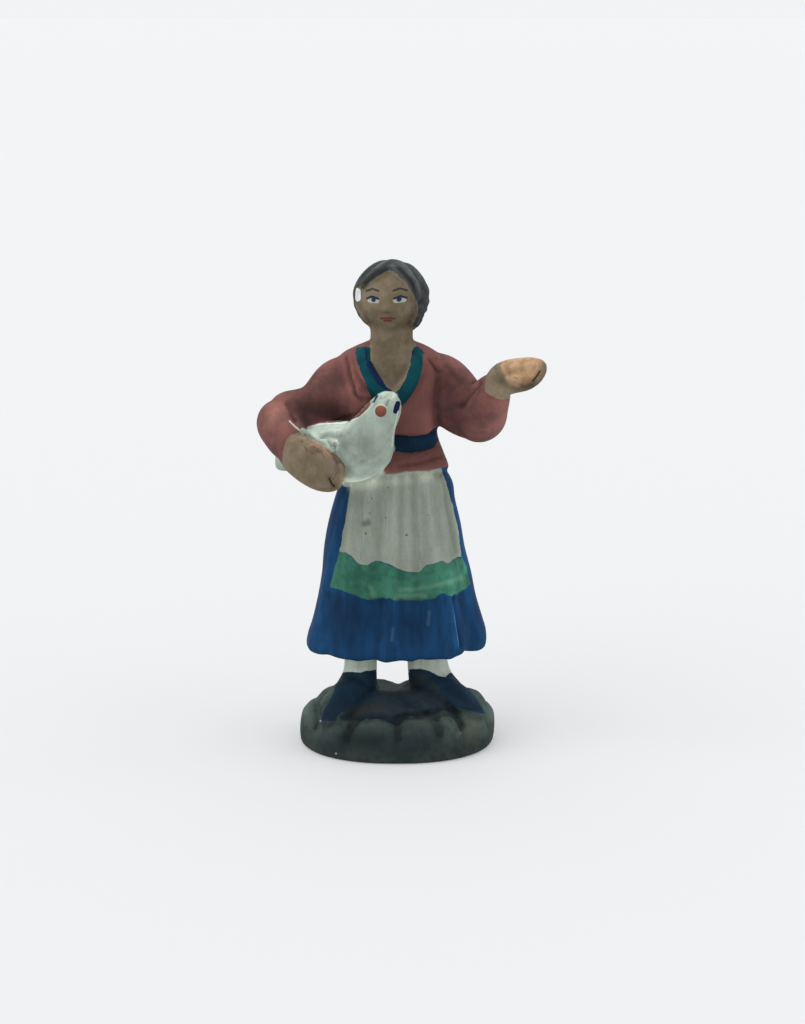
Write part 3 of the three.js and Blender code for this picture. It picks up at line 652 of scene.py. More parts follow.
# Edges that run round the body: points [x, z] on the front, and their height at the back.
bands = {
    "jacketFoot": {"back": 39.7, "front": [(-7, 39.6), (-2.5, 39.6), (0.5, 40.0), (1.1, 40.2), (4.3, 40.1),
                                           (6.0, 40.2), (7, 40.1)]},
    "beltTop": {"back": 45.4, "front": [(-6, 45.3), (0.2, 45.1), (2.3, 44.8), (4.3, 45.0), (5.2, 45.6),
                                        (6.5, 45.8)]},
    "beltFoot": {"back": 43.2, "front": [(-6, 43.0), (-0.2, 42.8), (1.6, 42.6), (4.0, 42.8), (5.2, 43.0),
                                         (5.7, 43.6), (6.5, 43.8)]},
}


# How far a place lies above a band's edge.
def aboveBand(name):
    front = np.interp(x, *np.array(bands[name]["front"]).T)
    return z - (front * (1 - backSide) + bands[name]["back"] * backSide)


# How far a place is seen above a drawn edge, or to the right of one that runs upwards.
def aboveEdge(name):
    return seen[:, 1] - np.interp(seen[:, 0], *fromPhoto(drawnEdges[name]).T)


def rightOfEdge(name):
    edgeAcross, edgeUp = fromPhoto(drawnEdges[name]).T
    return seen[:, 0] - np.interp(seen[:, 1], edgeUp, edgeAcross)


apronArea = np.min([rightOfEdge("apronLeft"), -rightOfEdge("apronRight"), -y - 0.4], axis=0)
skirtArea = -aboveBand("jacketFoot")
greenArea = np.min([apronArea, -aboveEdge("greenTop"), aboveEdge("greenFoot")], axis=0)
apronArea = np.min([apronArea, aboveEdge("greenTop"), skirtArea], axis=0)
beltArea = np.minimum(aboveBand("beltFoot"), -aboveBand("beltTop"))

# Outlines of areas, drawn over the photo in its pixels.
outlines = {
    "rightCuff": [(303, 431), (301, 432), (289.4, 434.6), (286.2, 441), (282.9, 451.6), (281.5, 464),
        (274, 470), (300, 510), (340, 510), (370, 480), (350, 440), (316, 436)],
    "leftCuff": [(489, 355), (488.5, 369), (486.6, 375), (484.6, 383.6), (485, 390.3), (489.4, 395),
        (496, 398.4), (502.8, 399.4), (507.6, 398.4), (518, 404), (580, 400), (570, 340)],
    "palm": [(501, 356), (502, 368), (505, 378), (511, 385), (522, 387), (531, 384), (537, 376), (542, 367),
        (541, 356)],
    "throat": [(371, 349.6), (370.5, 360), (375.7, 371.8), (383.6, 382.3), (388.8, 389.5), (394, 393),
        (399.3, 388.8), (405.8, 378.4), (410.4, 364), (415, 349.6), (415, 320), (371, 320)],
    "collarRight": [(355.5, 347), (356, 354), (356.8, 361.4), (363.3, 378.4), (370.5, 395.4), (376, 408),
        (392, 402), (393, 394), (388.8, 389.5), (383.6, 382.3), (375.7, 371.8), (370.5, 360), (371, 347)],
    "collarLeft": [(415, 347), (410.4, 364), (405.8, 378.4), (399.3, 388.8), (394, 393), (396, 410),
        (403.2, 405.2), (411, 396.7), (418.9, 382.3), (423.4, 364), (422.8, 353.5), (419, 348)],
    "goose": [(378, 396), (368, 407), (358, 416), (348, 419), (330, 421), (312, 421), (300, 428), (303, 440),
        (330, 460), (346, 484), (380, 477), (391, 458), (395.5, 450), (397, 415), (400, 404), (397, 393),
        (390, 390.5), (383, 391)],
    "aboveGoose": [(296, 428), (302, 429.5), (310, 424.8), (320, 423), (340, 421.8), (350, 420.3),
        (358, 416.5), (366, 408.5), (372, 398.5), (379, 391), (370, 380), (340, 395), (300, 405)],
    "rockFront": [(338, 716), (345, 712), (352, 708), (362, 703), (371, 697), (380, 690), (384, 691.5),
        (396, 691.5), (400, 689), (404, 685), (409, 680), (415, 674), (427, 675), (438, 686), (449, 703),
        (455, 708), (459.5, 718), (452, 714), (447, 711), (440, 710), (434, 712.5), (430, 716), (409, 716.5),
        (402, 721), (398, 723.5), (390, 722.5), (384, 720), (378, 718), (365, 718), (357, 720.5), (348, 722),
        (340, 720.5)],
    "besideRightBoot": [(376, 676), (378.5, 685), (381, 689), (384, 691.5), (376, 693)],
    "besideLeftBoot": [(409, 676), (406, 684), (402, 687.5), (396, 691.5), (409, 693)],
    "bootFront": [(336, 666), (376, 666), (377, 682), (380, 689), (385, 691), (396, 691), (404, 685),
        (409, 680), (409, 666), (456, 666), (457, 674), (462, 681), (470, 690), (476, 698), (481, 705.5),
        (486, 714), (478, 713), (470, 711), (462, 709.5), (455, 707), (445, 709), (432, 715), (400, 716),
        (350, 714), (341, 712.5), (337, 717), (337, 721.5), (321, 720.5), (323.5, 711), (327.5, 703),
        (331, 697), (334, 690), (335, 683), (336, 674)],
}
within = {name: seenInside(outline) for name, outline in outlines.items()}
towardsCamera = -normals @ forward
rightArmArea = ownedBy("rightHand", "rightForearm")
leftArmArea = ownedBy("leftHand", "leftForearm")
handArea = np.maximum(np.minimum(within["rightCuff"], rightArmArea),
                      np.minimum(within["leftCuff"], leftArmArea))
neckArea = np.maximum(np.minimum(within["throat"] + 0.2, -y - 0.5), ownedBy("neck"))
# Painted light on the open palm, given a soft edge.
palmArea = 0.2 * np.minimum(within["palm"], leftArmArea)  # a fifth of the distance gives a soft edge
skinArea = np.max([handArea, np.minimum(ownedBy("head"), 1.5 - inHead[:, 1]), neckArea], axis=0)
hairArea = np.minimum(hairMass, 0.05 - insideFace(inHead))

# The collar's paint follows its outlines in front, and its own form over the shoulders and at the back. The
# heights are as the camera sees them, and farOff outweighs any distance in these areas.
farOff = 9.0
collarPaint = {"front": 0.5, "outlinesTo": 22.3, "formTo": 23.3}
behindNeck = y > collarPaint["front"]
collarFront = np.maximum(within["collarRight"], within["collarLeft"])
collarRound = np.minimum(ownedBy("collar"), collarPaint["formTo"] - seen[:, 1] + farOff * behindNeck)
collarArea = np.where(~behindNeck & (seen[:, 1] < collarPaint["outlinesTo"]), collarFront,
                      np.maximum(np.minimum(collarFront, collarPaint["front"] - y), collarRound))
# The goose's paint also fills its outline near its body, and stops at the hand and at the edge above it.
goosePaint = {"beyondBody": 2.2, "overHand": 0.15}
nearBody = goosePaint["beyondBody"] - outside["gooseBody"]
gooseArea = np.maximum(goose, np.min([within["goose"], nearBody, torso + farOff], axis=0))
holding = np.maximum(ownedBy("rightHand"), ownedBy("rightForearm"))
gooseArea = np.minimum(gooseArea, goosePaint["overHand"] - holding)
gooseArea = np.where(towardsCamera > 0.1, np.minimum(gooseArea, -within["aboveGoose"]), gooseArea)

# The mound's paint fills the gaps beside the boots, and the rock's runs a little up the right one.
groundAndLegs = ownedBy("mound", "rock", "rightLeg", "leftLeg", "rightBoot", "leftBoot")
besideBoots = np.maximum(within["besideRightBoot"], within["besideLeftBoot"])
rockArea = np.maximum(0.5 * np.minimum(within["rockFront"], -y - 1.0),
                      np.minimum(besideBoots, 12 - y) - farOff * (towardsCamera < 0.05))
bootArea = np.where((towardsCamera > 0) & (y < 0),
                    np.min([within["bootFront"], -aboveEdge("bootTop"), groundAndLegs], axis=0),
                    np.minimum(legs, -aboveEdge("bootTop")))
paintTo = {"stockings": 14.2, "mound": 9.0}
paintAreas = {
    "skirt": skirtArea, "apron": apronArea, "green": greenArea, "belt": beltArea, "sleeves": arms,
    "stockings": np.min([legs, paintTo["stockings"] - z, aboveEdge("bootTop") + 0.5], axis=0),
    "boots": bootArea, "mound": np.minimum(groundAndLegs, paintTo["mound"] - z), "rock": rockArea,
    "skin": skinArea, "palm": palmArea, "collar": collarArea, "hair": hairArea, "goose": gooseArea,
}
print("stage: painted areas")


# Keeps numbers on the corners of the mesh under a name.
def keep(name, values):
    kind = "FLOAT_VECTOR" if values.ndim == 2 else "FLOAT"
    layer = figureMesh.attributes.new(name, kind, "POINT")
    layer.data.foreach_set("vector" if values.ndim == 2 else "value", values.astype(np.float32).ravel())


for name, area in paintAreas.items():
    keep(name, np.clip(area, -2, 2))
keep("frontPlane", np.stack([seen[:, 0], seen[:, 1], 0 * x], -1))
keep("facePlane", np.stack([inHead[:, 0], inHead[:, 2], 0 * x], -1))
keep("facing", np.minimum(towardsCamera, -y / 4 + 0.6))
# How the surface bends, above 0 on ridges and below 0 in hollows, first finely and then over a wider reach:
# how many times it is spread to neighbours, and the bend in mm that counts in full.
bends = {"fine": (2, 0.02), "wide": (8, 0.01)}
bending = ((places - meanRound(places)) * normals).sum(1)
for name, (steps, full) in bends.items():
    for step in range(steps):
        bending = meanRound(bending[:, None])[:, 0]
    bends[name] = np.clip(bending / full, -1, 1)
# Painted light and shade, with some uneven paint: strokes drawn over the photo lighten or darken the paint,
# as line in pixels, half width in mm and factor.
paintedLightAndShade = {
    "right sleeve": [([(268, 420), (266, 432)], 1.8, 1.25), ([(274, 405), (287, 414)], 2.0, 1.25),
        ([(303, 405), (335, 408)], 1.7, 0.45), ([(280, 418), (286, 432)], 1.0, 1.2),
        ([(318, 368), (338, 356)], 1.2, 1.18)],
    "left sleeve": [([(446, 380), (450, 415)], 1.6, 0.58), ([(456, 395), (470, 425)], 1.5, 0.88),
        ([(475, 432), (488, 430)], 1.3, 1.35), ([(504, 392), (500, 426)], 1.6, 1.6),
        ([(442, 354), (458, 362), (474, 378)], 0.8, 1.3)],
    "jacket": [([(346, 390), (345, 414)], 1.0, 1.9), ([(410, 458), (428, 457)], 1.8, 0.72),
        ([(360, 378)], 1.5, 1.15), ([(430, 416), (431, 438)], 1.1, 1.6)],
    "throat": [([(385, 354), (392, 374)], 1.8, 0.72), ([(400, 356), (412, 352)], 1.2, 0.82)],
    "hair": [([(420, 290), (418, 318)], 1.0, 0.82)],
    "goose": [([(308, 429), (328, 428), (345, 428)], 1.2, 1.45), ([(350, 440), (366, 446)], 1.6, 0.76),
        ([(314, 438), (322, 442), (331, 449)], 0.8, 1.4), ([(352, 468), (388, 468)], 1.6, 1.12),
        ([(345, 480), (360, 482), (375, 479), (384, 473)], 0.8, 1.55), ([(384, 396), (396, 396)], 1.1, 1.08),
        ([(362, 424), (368, 436), (366, 446)], 1.4, 0.84)],
    "hands": [([(503, 381), (518, 386), (532, 384)], 0.9, 0.45), ([(312, 458), (330, 465)], 1.5, 0.85)],
    "apron": [([(354, 489), (372, 489)], 1.0, 1.35), ([(350, 487), (390, 481), (432, 476)], 0.9, 1.15),
        ([(396, 520), (397, 585)], 0.5, 1.15), ([(420, 560), (426, 590)], 1.0, 0.88),
        ([(352, 580)], 3.0, 0.85), ([(440, 584)], 3.0, 1.15)],
    "skirt": [([(456, 505), (467, 570)], 0.5, 1.5), ([(350, 610), (350, 640)], 1.8, 0.6),
        ([(370, 620), (415, 625)], 2.5, 0.72), ([(425, 612), (412, 642)], 1.5, 0.85),
        ([(460, 560), (467, 600)], 0.8, 1.4), ([(318, 630)], 3.0, 1.2), ([(328, 570)], 3.0, 1.15),
        ([(460, 605), (465, 645)], 0.6, 0.95), ([(336, 605), (333, 640)], 1.2, 0.78),
        ([(450, 575), (456, 645)], 0.8, 1.5), ([(306, 648), (345, 655), (400, 659), (438, 656)], 0.6, 0.88)],
    "stockings": [([(352, 667), (366, 666)], 0.6, 0.88), ([(425, 666), (438, 669)], 0.6, 0.88)],
    "boots": [([(328, 711), (344, 702)], 1.8, 0.5), ([(452, 692), (476, 708)], 1.3, 0.5),
        ([(358, 681), (366, 684)], 1.3, 1.4), ([(339, 715), (350, 716)], 0.6, 0.75)],
    "rock": [([(382, 686), (402, 684)], 0.6, 1.4), ([(362, 708), (430, 706)], 1.2, 0.78)],
    "mound": [([(304, 712), (312, 700), (330, 690)], 0.8, 1.45),
        ([(470, 692), (484, 703), (491, 716)], 0.8, 1.4), ([(352, 733), (392, 734), (430, 734)], 1.9, 0.72),
        ([(362, 722), (378, 722)], 0.5, 1.15), ([(484, 715)], 3.0, 1.3), ([(316, 708)], 2.0, 1.2),
        ([(345, 738), (376, 740)], 1.5, 0.5), ([(405, 746), (440, 742)], 1.8, 0.8)],
}
# How strongly bends and strands show in the paint: ridges lighter, painted shade in hollows, and painted
# light and shade on broad bends and on strands. Painted light brightens what faces upwards, and painted
# shade darkens the foot of the mound.
wear = {"ridges": 0.12, "hollows": 0.28, "broadBends": 0.08, "strands": 0.2, "paintedTopLight": 0.3, "dirtAndShade": 0.4,
        "footShadeHeight": 4.2}
# Ridges a little lighter, and painted shade in the hollows.
tone = 1 + np.where(bends["fine"] > 0, wear["ridges"], wear["hollows"]) * bends["fine"]
# Painted light on broad bulges and painted shade in broad hollows.
tone += wear["broadBends"] * bends["wide"]
# Painted light on the strands of hair and painted shade between them.
tone *= 1 + wear["strands"] * comb
# Painted light on what faces upwards.
tone *= 1 + wear["paintedTopLight"] * smooth(normals[:, 2], 0.4, 1) * smooth(z, 12, 13)
# Painted shade at the foot of the mound.
tone *= 1 - wear["dirtAndShade"] * smooth(wear["footShadeHeight"] - z, 0, 3) * smooth(ownedBy("mound"), -0.3, 0.3)
# The strokes' painted light and shade.
for strokes in paintedLightAndShade.values():
    for line, half, factor in strokes:
        tone *= 1 + (factor - 1) * bell(seenGap(line), half) * smooth(towardsCamera, -0.1, 0.2)
keep("tone", tone)

figureMesh.vertices.foreach_set("co", (places / 1000).astype(np.float32).ravel())
figureMesh.update()
figureMesh.shade_smooth()
figure = bpy.data.objects.new("painted_figure", figureMesh)
bpy.context.scene.collection.objects.link(figure)


# A paint's colour, from its sRGB hex, as linear light.
def linear(hexColour):
    parts = np.array([int(hexColour[k:k + 2], 16) for k in (1, 3, 5)]) / 255
    return (*np.where(parts <= 0.04045, parts / 12.92, ((parts + 0.055) / 1.055) ** 2.4), 1)


# Gouache on fired clay: dead matt, cloudy in colour, with brush lines, pinholes and a fine grain under it.
material = bpy.data.materials.new("matt_paint_on_fired_clay")
material.use_nodes = True
material.node_tree.nodes.clear()


# Adds a node with its settings, and links or sets its inputs; gives back one of its outputs.
def node(kind, inputs=None, output=0, **settings):
    made = material.node_tree.nodes.new("ShaderNode" + kind)
    for name, value in settings.items():
        setattr(made, name, value)
    for name, value in (inputs or {}).items():
        if isinstance(value, bpy.types.NodeSocket):
            material.node_tree.links.new(value, made.inputs[name])
        else:
            made.inputs[name].default_value = value
    return made if output is None else made.outputs[output]


# Noises over the object: size of their features in mm, detail, and how far they are drawn out upwards.
noises = {"wide": (3.5, 4.0, 1), "middle": (1.1, 3.0, 1), "edge": (1.6, 2.0, 1), "fineEdge": (0.45, 2.0, 1),
          "streak": (1.2, 4.0, 6), "brush": (0.5, 3.0, 4), "grain": (0.35, 4.0, 1), "dirtAndShade": (5.0, 2.0, 1)}
objectPlace = node("TexCoord", output=3)
for name, (size, detail, drawnOut) in noises.items():
    place = node("Mapping", {"Vector": objectPlace, "Scale": (1.0, 1.0, 1 / drawnOut)})
    noises[name] = node("TexNoise", {"Vector": place, "Scale": 1000 / size, "Detail": detail})
# How far the edges of the paint wander, in mm.
wobble = node("Math", {0: noises["edge"], 1: 0.35, 2: -0.265}, operation="MULTIPLY_ADD")
wobble = node("Math", {0: noises["fineEdge"], 1: 0.18, 2: wobble}, operation="MULTIPLY_ADD")
eased = {"interpolation_type": "SMOOTHSTEP", "clamp": False}
colours = {"output": 2, "data_type": "RGBA"}
clouds = node("Mix", {0: 0.4, 2: noises["wide"], 3: noises["middle"]})
mixing = {"clouds": node("MapRange", {0: clouds, 1: 0.42, 2: 0.6}, **eased),
          "streaks": node("MapRange", {0: noises["streak"], 1: 0.38, 2: 0.62}, **eased)}

# The paint in the order it lies. An area has its main colour, a second tone, and what mixes the two. Strokes
# of the brush, and strokes of painted light and shade, have what they lie on, what they are, their colour,
# softness in mm and strength, and the line and half width in mm of each. A line on the front or the goose is
# in the photo's pixels, on the face in mm.
layers = [
    ("area", "sleeves", "#67433f", "#563c39", "clouds"),
    ("area", "skirt", "#133a5e", "#103150", "streaks"),
    ("front", "scratches on the skirt", "#456889", 0.5, 0.4, [([(393, 628), (392, 640)], 0.15),
     ([(429, 612), (428, 624)], 0.2)]),
    # Painted highlight along a fold of the skirt.
    ("front", "painted highlight on a fold of the skirt", "#597e9c", 0.25, 0.6, [
     ([(453, 598), (455.5, 622), (459.5, 646)], 0.1)]),
    ("area", "apron", "#83897f", "#7b8277", "streaks"),
    # Painted light on the top of the apron, under the jacket's hem.
    ("front", "painted light on the top of the apron", "#9fa798", 1.4, 0.6, [([(352, 486), (385, 481), (432, 476)], 0.6)]),
    ("front", "smudge on the apron", "#50554b", 0.7, 0.75, [([(364.5, 523.5), (368, 522.5)], 0.42)]),
    ("front", "pinholes in the apron", "#363830", 0.1, 0.8, [([(365.7, 533.3)], 0.14),
     ([(406.5, 535)], 0.17), ([(388.5, 487.7)], 0.09), ([(372, 498.5)], 0.1), ([(370, 513)], 0.09),
     ([(385.5, 517.7)], 0.09)]),
    ("front", "fine lines down the apron", "#544e41", 0.2, 0.5, [([(385, 500), (386, 530)], 0.02),
     ([(363, 495), (361, 560)], 0.02), ([(416, 500), (420, 560)], 0.02)]),
    ("area", "green", "#346553", "#285345", "clouds"),
    ("front", "lights on the green border", "#598169", 0.8, 0.5, [
     ([(400, 590), (420, 589), (440, 584), (462, 578)], 0.3), ([(397, 597), (424, 596)], 0.4),
     ([(371, 588), (374, 597)], 0.3)]),
    ("area", "belt", "#0a2437", "#091e2f", "clouds"),
    ("area", "sleeves", "#67433f", "#563c39", "clouds"),
    ("front", "rub on the right sleeve", "#64635c", 0.5, 0.15, [([(298, 427), (307, 423)], 0.3)]),
    ("front", "warm lights on the jacket", "#8d6154", 2.5, 0.4, [
     ([(268, 425), (275, 410), (287, 405)], 0.5), ([(506, 402), (503, 420)], 0.4),
     ([(352, 368), (358, 384)], 0.2)]),
    # Painted shade under the right sleeve.
    ("front", "painted shade under the right sleeve", "#35252e", 2.2, 0.55, [([(306, 412), (338, 413)], 0.5)]),
    # Painted shade in the jacket's deep folds.
    ("front", "painted shade in the jacket's deep folds", "#382725", 0.3, 0.5, [([(352, 386), (354, 395), (359, 399)], 0.1),
     ([(431, 360), (437, 368)], 0.12)]),
    ("area", "mound", "#3b4742", "#2f3a39", "clouds"),
    # The stockings' white is painted paler than the apron's, as painted light under the skirt's shade.
    ("area", "stockings", "#bcc7b7", "#adb7a7", "streaks"),
    ("front", "pale rims above the boots", "#b3bfc4", 0.15, 0.6, [
     ([(345, 670.4), (360, 670), (374, 667.8)], 0.08),
     ([(409, 667.3), (420, 667), (430, 669), (438, 674), (445, 675), (450, 671)], 0.08)]),
    ("area", "boots", "#1a2e40", "#162834", "clouds"),
    ("area", "rock", "#243138", "#1e282f", "clouds"),
    ("front", "brown on the rock", "#312f2b", 1.5, 0.6, [([(352, 713), (366, 708), (382, 706)], 0.5)]),
    ("front", "dark joints at the mound's left", "#141d27", 0.3, 0.6, [([(319, 704), (320, 714)], 0.15),
     ([(317, 722), (314, 728)], 0.15)]),
    ("front", "worn lower edge of the mound", "#3c4b45", 0.5, 0.5, [
     ([(347, 752), (368, 751), (384, 754)], 0.15), ([(410, 754), (428, 752)], 0.12)]),
    # Painted shade on the lower front of the stones.
    ("front", "painted shade on the front stones", "#28363a", 2.5, 0.65, [([(330, 742), (400, 743), (432, 739)], 1.0)]),
    ("front", "dusty stone at the right", "#4a4a3f", 3.0, 0.5, [([(474, 724), (470, 738)], 0.8)]),
    ("front", "white flecks", "#aeb2a7", 0.08, 0.9, [([(320.3, 721)], 0.14), ([(336, 753.6)], 0.13)]),
    ("front", "brown fleck", "#634b43", 0.2, 0.6, [([(460.7, 733)], 0.25)]),
    ("area", "skin", "#726656", "#655a46", "clouds"),
    # A paler skin colour: painted light on the open palm.
    ("area", "palm", "#a6886a", "#8b7054", "clouds"),
    # Painted shade in the gap between thumb and fingers.
    ("front", "gap between thumb and fingers", "#3b2921", 0.18, 0.85, [
     ([(540, 371), (537, 376), (533.4, 380.7)], 0.14)]),
    ("front", "flecks on the open hand", "#564032", 0.25, 0.6, [([(522, 385)], 0.18),
     ([(514, 377), (517, 378)], 0.1), ([(509, 371)], 0.12)]),
    # Warm paint with a painted highlight on the knuckles.
    ("front", "warm paint and painted highlight on the knuckles", "#85604f", 0.6, 0.65, [([(313, 444), (324, 447), (332, 455)], 0.35)]),
    ("front", "red flecks on the hand", "#5c3730", 0.15, 0.75, [([(301.5, 441), (302.5, 442)], 0.12),
     ([(305, 447), (307, 451)], 0.1), ([(312, 447), (315, 448)], 0.1), ([(312, 453), (315, 454)], 0.1),
     ([(318, 449)], 0.1), ([(322, 453), (324, 457)], 0.08)]),
    ("front", "shade along the fingers", "#574737", 0.7, 0.6, [
     ([(335, 458), (339, 468), (338, 482), (333, 487)], 0.25)]),
    # Painted shade in the gap between the fingers.
    ("front", "gap between the fingers", "#2b1e1a", 0.12, 0.9, [
     ([(329.5, 479.5), (331.5, 484.5), (334.5, 487.5)], 0.1)]),
    ("face", "whites of the eyes", "#9fa299", 0.08, 0.9, [([(-2.35, 0.3), (-1.3, 0.28)], 0.36),
     ([(1.3, 0.28), (2.35, 0.3)], 0.36)]),
    ("face", "lids and irises", "#122038", 0.07, 0.95, [([(-2.75, 0.5), (-2.0, 0.8), (-1.1, 0.54)], 0.15),
     ([(-1.8, 0.38)], 0.34), ([(2.7, 0.5), (1.95, 0.8), (1.1, 0.54)], 0.15), ([(1.75, 0.38)], 0.34)]),
    ("face", "brows", "#232725", 0.12, 0.85, [([(-2.8, 1.5), (-1.9, 1.85), (-1.05, 1.62)], 0.14),
     ([(2.75, 1.5), (1.9, 1.85), (1.05, 1.62)], 0.14)]),
    ("face", "shade under the nose", "#514231", 0.3, 0.5, [([(-0.45, -1.3), (0.45, -1.3)], 0.1)]),
    ("face", "lips", "#5c2d36", 0.1, 0.9, [
     ([(-0.95, -2.3), (-0.35, -2.14), (0, -2.2), (0.35, -2.14), (0.95, -2.3)], 0.15),
     ([(-0.4, -2.55), (0.4, -2.55)], 0.22)]),
    ("area", "collar", "#063a42", "#04323a", "clouds"),
    ("front", "navy lines on the collar", "#0a1b38", 0.15, 0.9, [([(366.5, 350), (366.5, 360)], 0.14),
     ([(369.5, 364), (374.5, 373.5), (380.5, 382.5)], 0.45),
     ([(380.5, 384), (385, 388), (390.5, 391)], 0.22), ([(413, 352), (411, 362)], 0.12)]),
    ("front", "pale edge at the throat", "#92917c", 0.15, 0.3, [([(371, 352), (372.5, 363)], 0.08)]),
    ("area", "hair", "#444746", "#333637", "clouds"),
    ("front", "shade beside the face", "#1a1c1f", 0.5, 0.75, [
     ([(363, 287), (366, 283), (374, 275), (386, 268.5)], 0.35),
     ([(398, 268), (409, 279), (416.5, 290), (420, 302)], 0.3)]),
    # Painted shade in the gaps between strands.
    ("front", "gaps between strands", "#1c1f20", 0.18, 0.6, [
     ([(400, 267), (411, 279), (415, 293), (416, 312)], 0.06),
     ([(378, 262.5), (368, 269), (361, 279)], 0.04)]),
    ("front", "light on the strands", "#6c6e69", 0.3, 0.45, [([(409, 270), (418, 282), (420.5, 298)], 0.1),
     ([(384, 262.5), (372, 269)], 0.08)]),
    ("front", "light beside the bun", "#5f6462", 0.5, 0.4, [([(416, 284), (419, 300)], 0.15)]),
    ("front", "bare patch at the temple", "#d2d6d8", 0.1, 1.0, [([(357.3, 289), (357.5, 300.5)], 0.16),
     ([(358.2, 291), (358, 298.5)], 0.36)]),
    ("area", "goose", "#94a094", "#88948a", "clouds"),
    ("front", "goose's back beside the hand", "#a8b2a3", 0.08, 0.8, [
     ([(289.5, 421), (295, 426.5), (305, 434.5)], 0.12)]),
    # Painted light on the goose where the hand shades it.
    ("front", "painted light on the goose along the hand", "#b6c0b4", 0.8, 0.65, [
     ([(309, 432), (317, 437), (325, 443), (331, 448)], 0.32)]),
    ("front", "goose beside wrist and fingers", "#a5afa3", 0.2, 0.9, [([(302.5, 430), (307, 432)], 0.3),
     ([(345, 484), (350, 484)], 0.35)]),
    ("front", "light on its crown", "#b2baa9", 0.6, 0.6, [([(384, 396), (395, 395.5)], 0.3)]),
    ("front", "light under its breast", "#a9b3a4", 0.7, 0.8, [
     ([(347, 480), (360, 482), (374, 479), (382, 474)], 0.3)]),
    # Painted highlights along the goose's edges.
    ("goose", "painted highlights along its edges", "#c6cec3", 0.1, 0.65, [
     ([(308, 427.5), (320, 424), (345, 422.6), (356, 418.6), (367, 410), (373, 403)], 0.08),
     ([(398.5, 402), (397.8, 413), (394, 430), (392, 446)], 0.07)]),
    ("front", "pale ring round its beak", "#a5aea0", 0.12, 0.6, [([(380.3, 411)], 0.98)]),
    ("front", "its beak", "#6d4334", 0.12, 1.0, [([(380.8, 411.2)], 0.82)]),
    ("front", "its eyes", "#0b1434", 0.08, 1.0, [([(397.8, 403.5), (396.6, 409)], 0.36),
     ([(396.4, 406), (395.2, 411.5)], 0.32)]),
    ("front", "navy stroke on its crown", "#0f2233", 0.1, 0.95, [([(377, 396), (373.5, 401.5)], 0.2)]),
    ("front", "grey lines on its crown", "#666f6a", 0.25, 0.7, [([(388.5, 400), (386.5, 405)], 0.12),
     ([(384, 397.5), (388, 395)], 0.05)]),
    ("front", "grey lines in its down", "#5f6963", 0.2, 0.7, [([(334.5, 446), (335.5, 452)], 0.1),
     ([(320, 437.5), (329, 438.5)], 0.06), ([(328, 441), (331, 446)], 0.08),
     ([(346, 432), (349, 434)], 0.04), ([(336, 429), (341, 428)], 0.04)]),
    ("front", "bright curl of down", "#c6cec3", 0.2, 0.6, [([(333, 442), (337, 441), (339, 444)], 0.1)]),
]
# Strokes show where the surface looks to the front, the face's only on skin and some only on the goose.
planes = {name: node("Attribute", output=1, attribute_name=name + "Plane") for name in ("front", "face")}
planes["goose"] = planes["front"]
shown = {}
for name in ("facing", "skin", "goose"):
    here = node("Attribute", output=2, attribute_name=name)
    shown[name] = node("MapRange", {0: here, 1: 0.0, 2: 0.12}, **eased)
shown = {"front": shown["facing"],
         "face": node("Math", {0: shown["facing"], 1: shown["skin"]}, operation="MULTIPLY"),
         "goose": node("Math", {0: shown["facing"], 1: shown["goose"]}, operation="MULTIPLY")}


# The gap between a place on a flat plane and a line, in mm: to the nearest point of each straight run.
def strokeGap(place, line):
    gap = node("VectorMath", {0: place, 1: (*line[0], 0)}, output=1, operation="DISTANCE")
    for start, end in zip(line[:-1], line[1:]):
        run = np.array([end[0] - start[0], end[1] - start[1], 0])
        away = node("VectorMath", {0: place, 1: (*start, 0)}, operation="SUBTRACT")
        share = node("VectorMath", {0: away, 1: run / (run @ run)}, output=1, operation="DOT_PRODUCT")
        share = node("Math", {0: share, 1: 0.0}, operation="MAXIMUM")
        share = node("Math", {0: share, 1: 1.0}, operation="MINIMUM")
        foot = node("VectorMath", {0: run, "Scale": share}, operation="SCALE")
        here = node("VectorMath", {0: away, 1: foot}, output=1, operation="DISTANCE")
        gap = node("Math", {0: gap, 1: here}, operation="MINIMUM")
    return gap


colour = linear(layers[0][2])
for kind, name, *paint in layers:
    if kind == "area":
        main, second, mixture = paint
        inside = node("Attribute", output=2, attribute_name=name)
        inside = node("Math", {0: inside, 1: wobble}, operation="ADD")
        inside = node("MapRange", {0: inside, 1: -0.05, 2: 0.07}, **eased)
        coat = node("Mix", {0: mixing[mixture], 6: linear(main), 7: linear(second)}, **colours)
    else:
        coat, softness, strength, strokes = linear(paint[0]), *paint[1:]
        inside = -10.0
        for line, half in strokes:
            line = line if kind == "face" else fromPhoto(line)
            here = node("Math", {0: half, 1: strokeGap(planes[kind], line)}, operation="SUBTRACT")
            inside = node("Math", {0: inside, 1: here}, operation="MAXIMUM")
        inside = node("Math", {0: wobble, 1: 0.3, 2: inside}, operation="MULTIPLY_ADD")
        inside = node("MapRange", {0: inside, 1: -softness / 2, 2: softness / 2, 4: strength}, **eased)
        inside = node("Math", {0: inside, 1: shown[kind]}, operation="MULTIPLY")
    colour = node("Mix", {0: inside, 6: colour, 7: coat}, label=name, **colours)

# Pinholes and dirt: dark dots up to 0.2 mm across, 1.6 mm apart, where a broad noise lets them through.
dots = node("TexVoronoi", {"Vector": objectPlace, "Scale": 1000 / 1.6})
dots = node("MapRange", {0: dots, 1: 0.03, 2: 0.08, 3: 1.0, 4: 0.0})
dirty = node("MapRange", {0: noises["dirtAndShade"], 1: 0.52, 2: 0.6, 4: 0.6})
dots = node("Math", {0: dots, 1: dirty}, operation="MULTIPLY")
colour = node("Mix", {0: dots, 6: colour, 7: linear("#2c2a26")}, **colours)

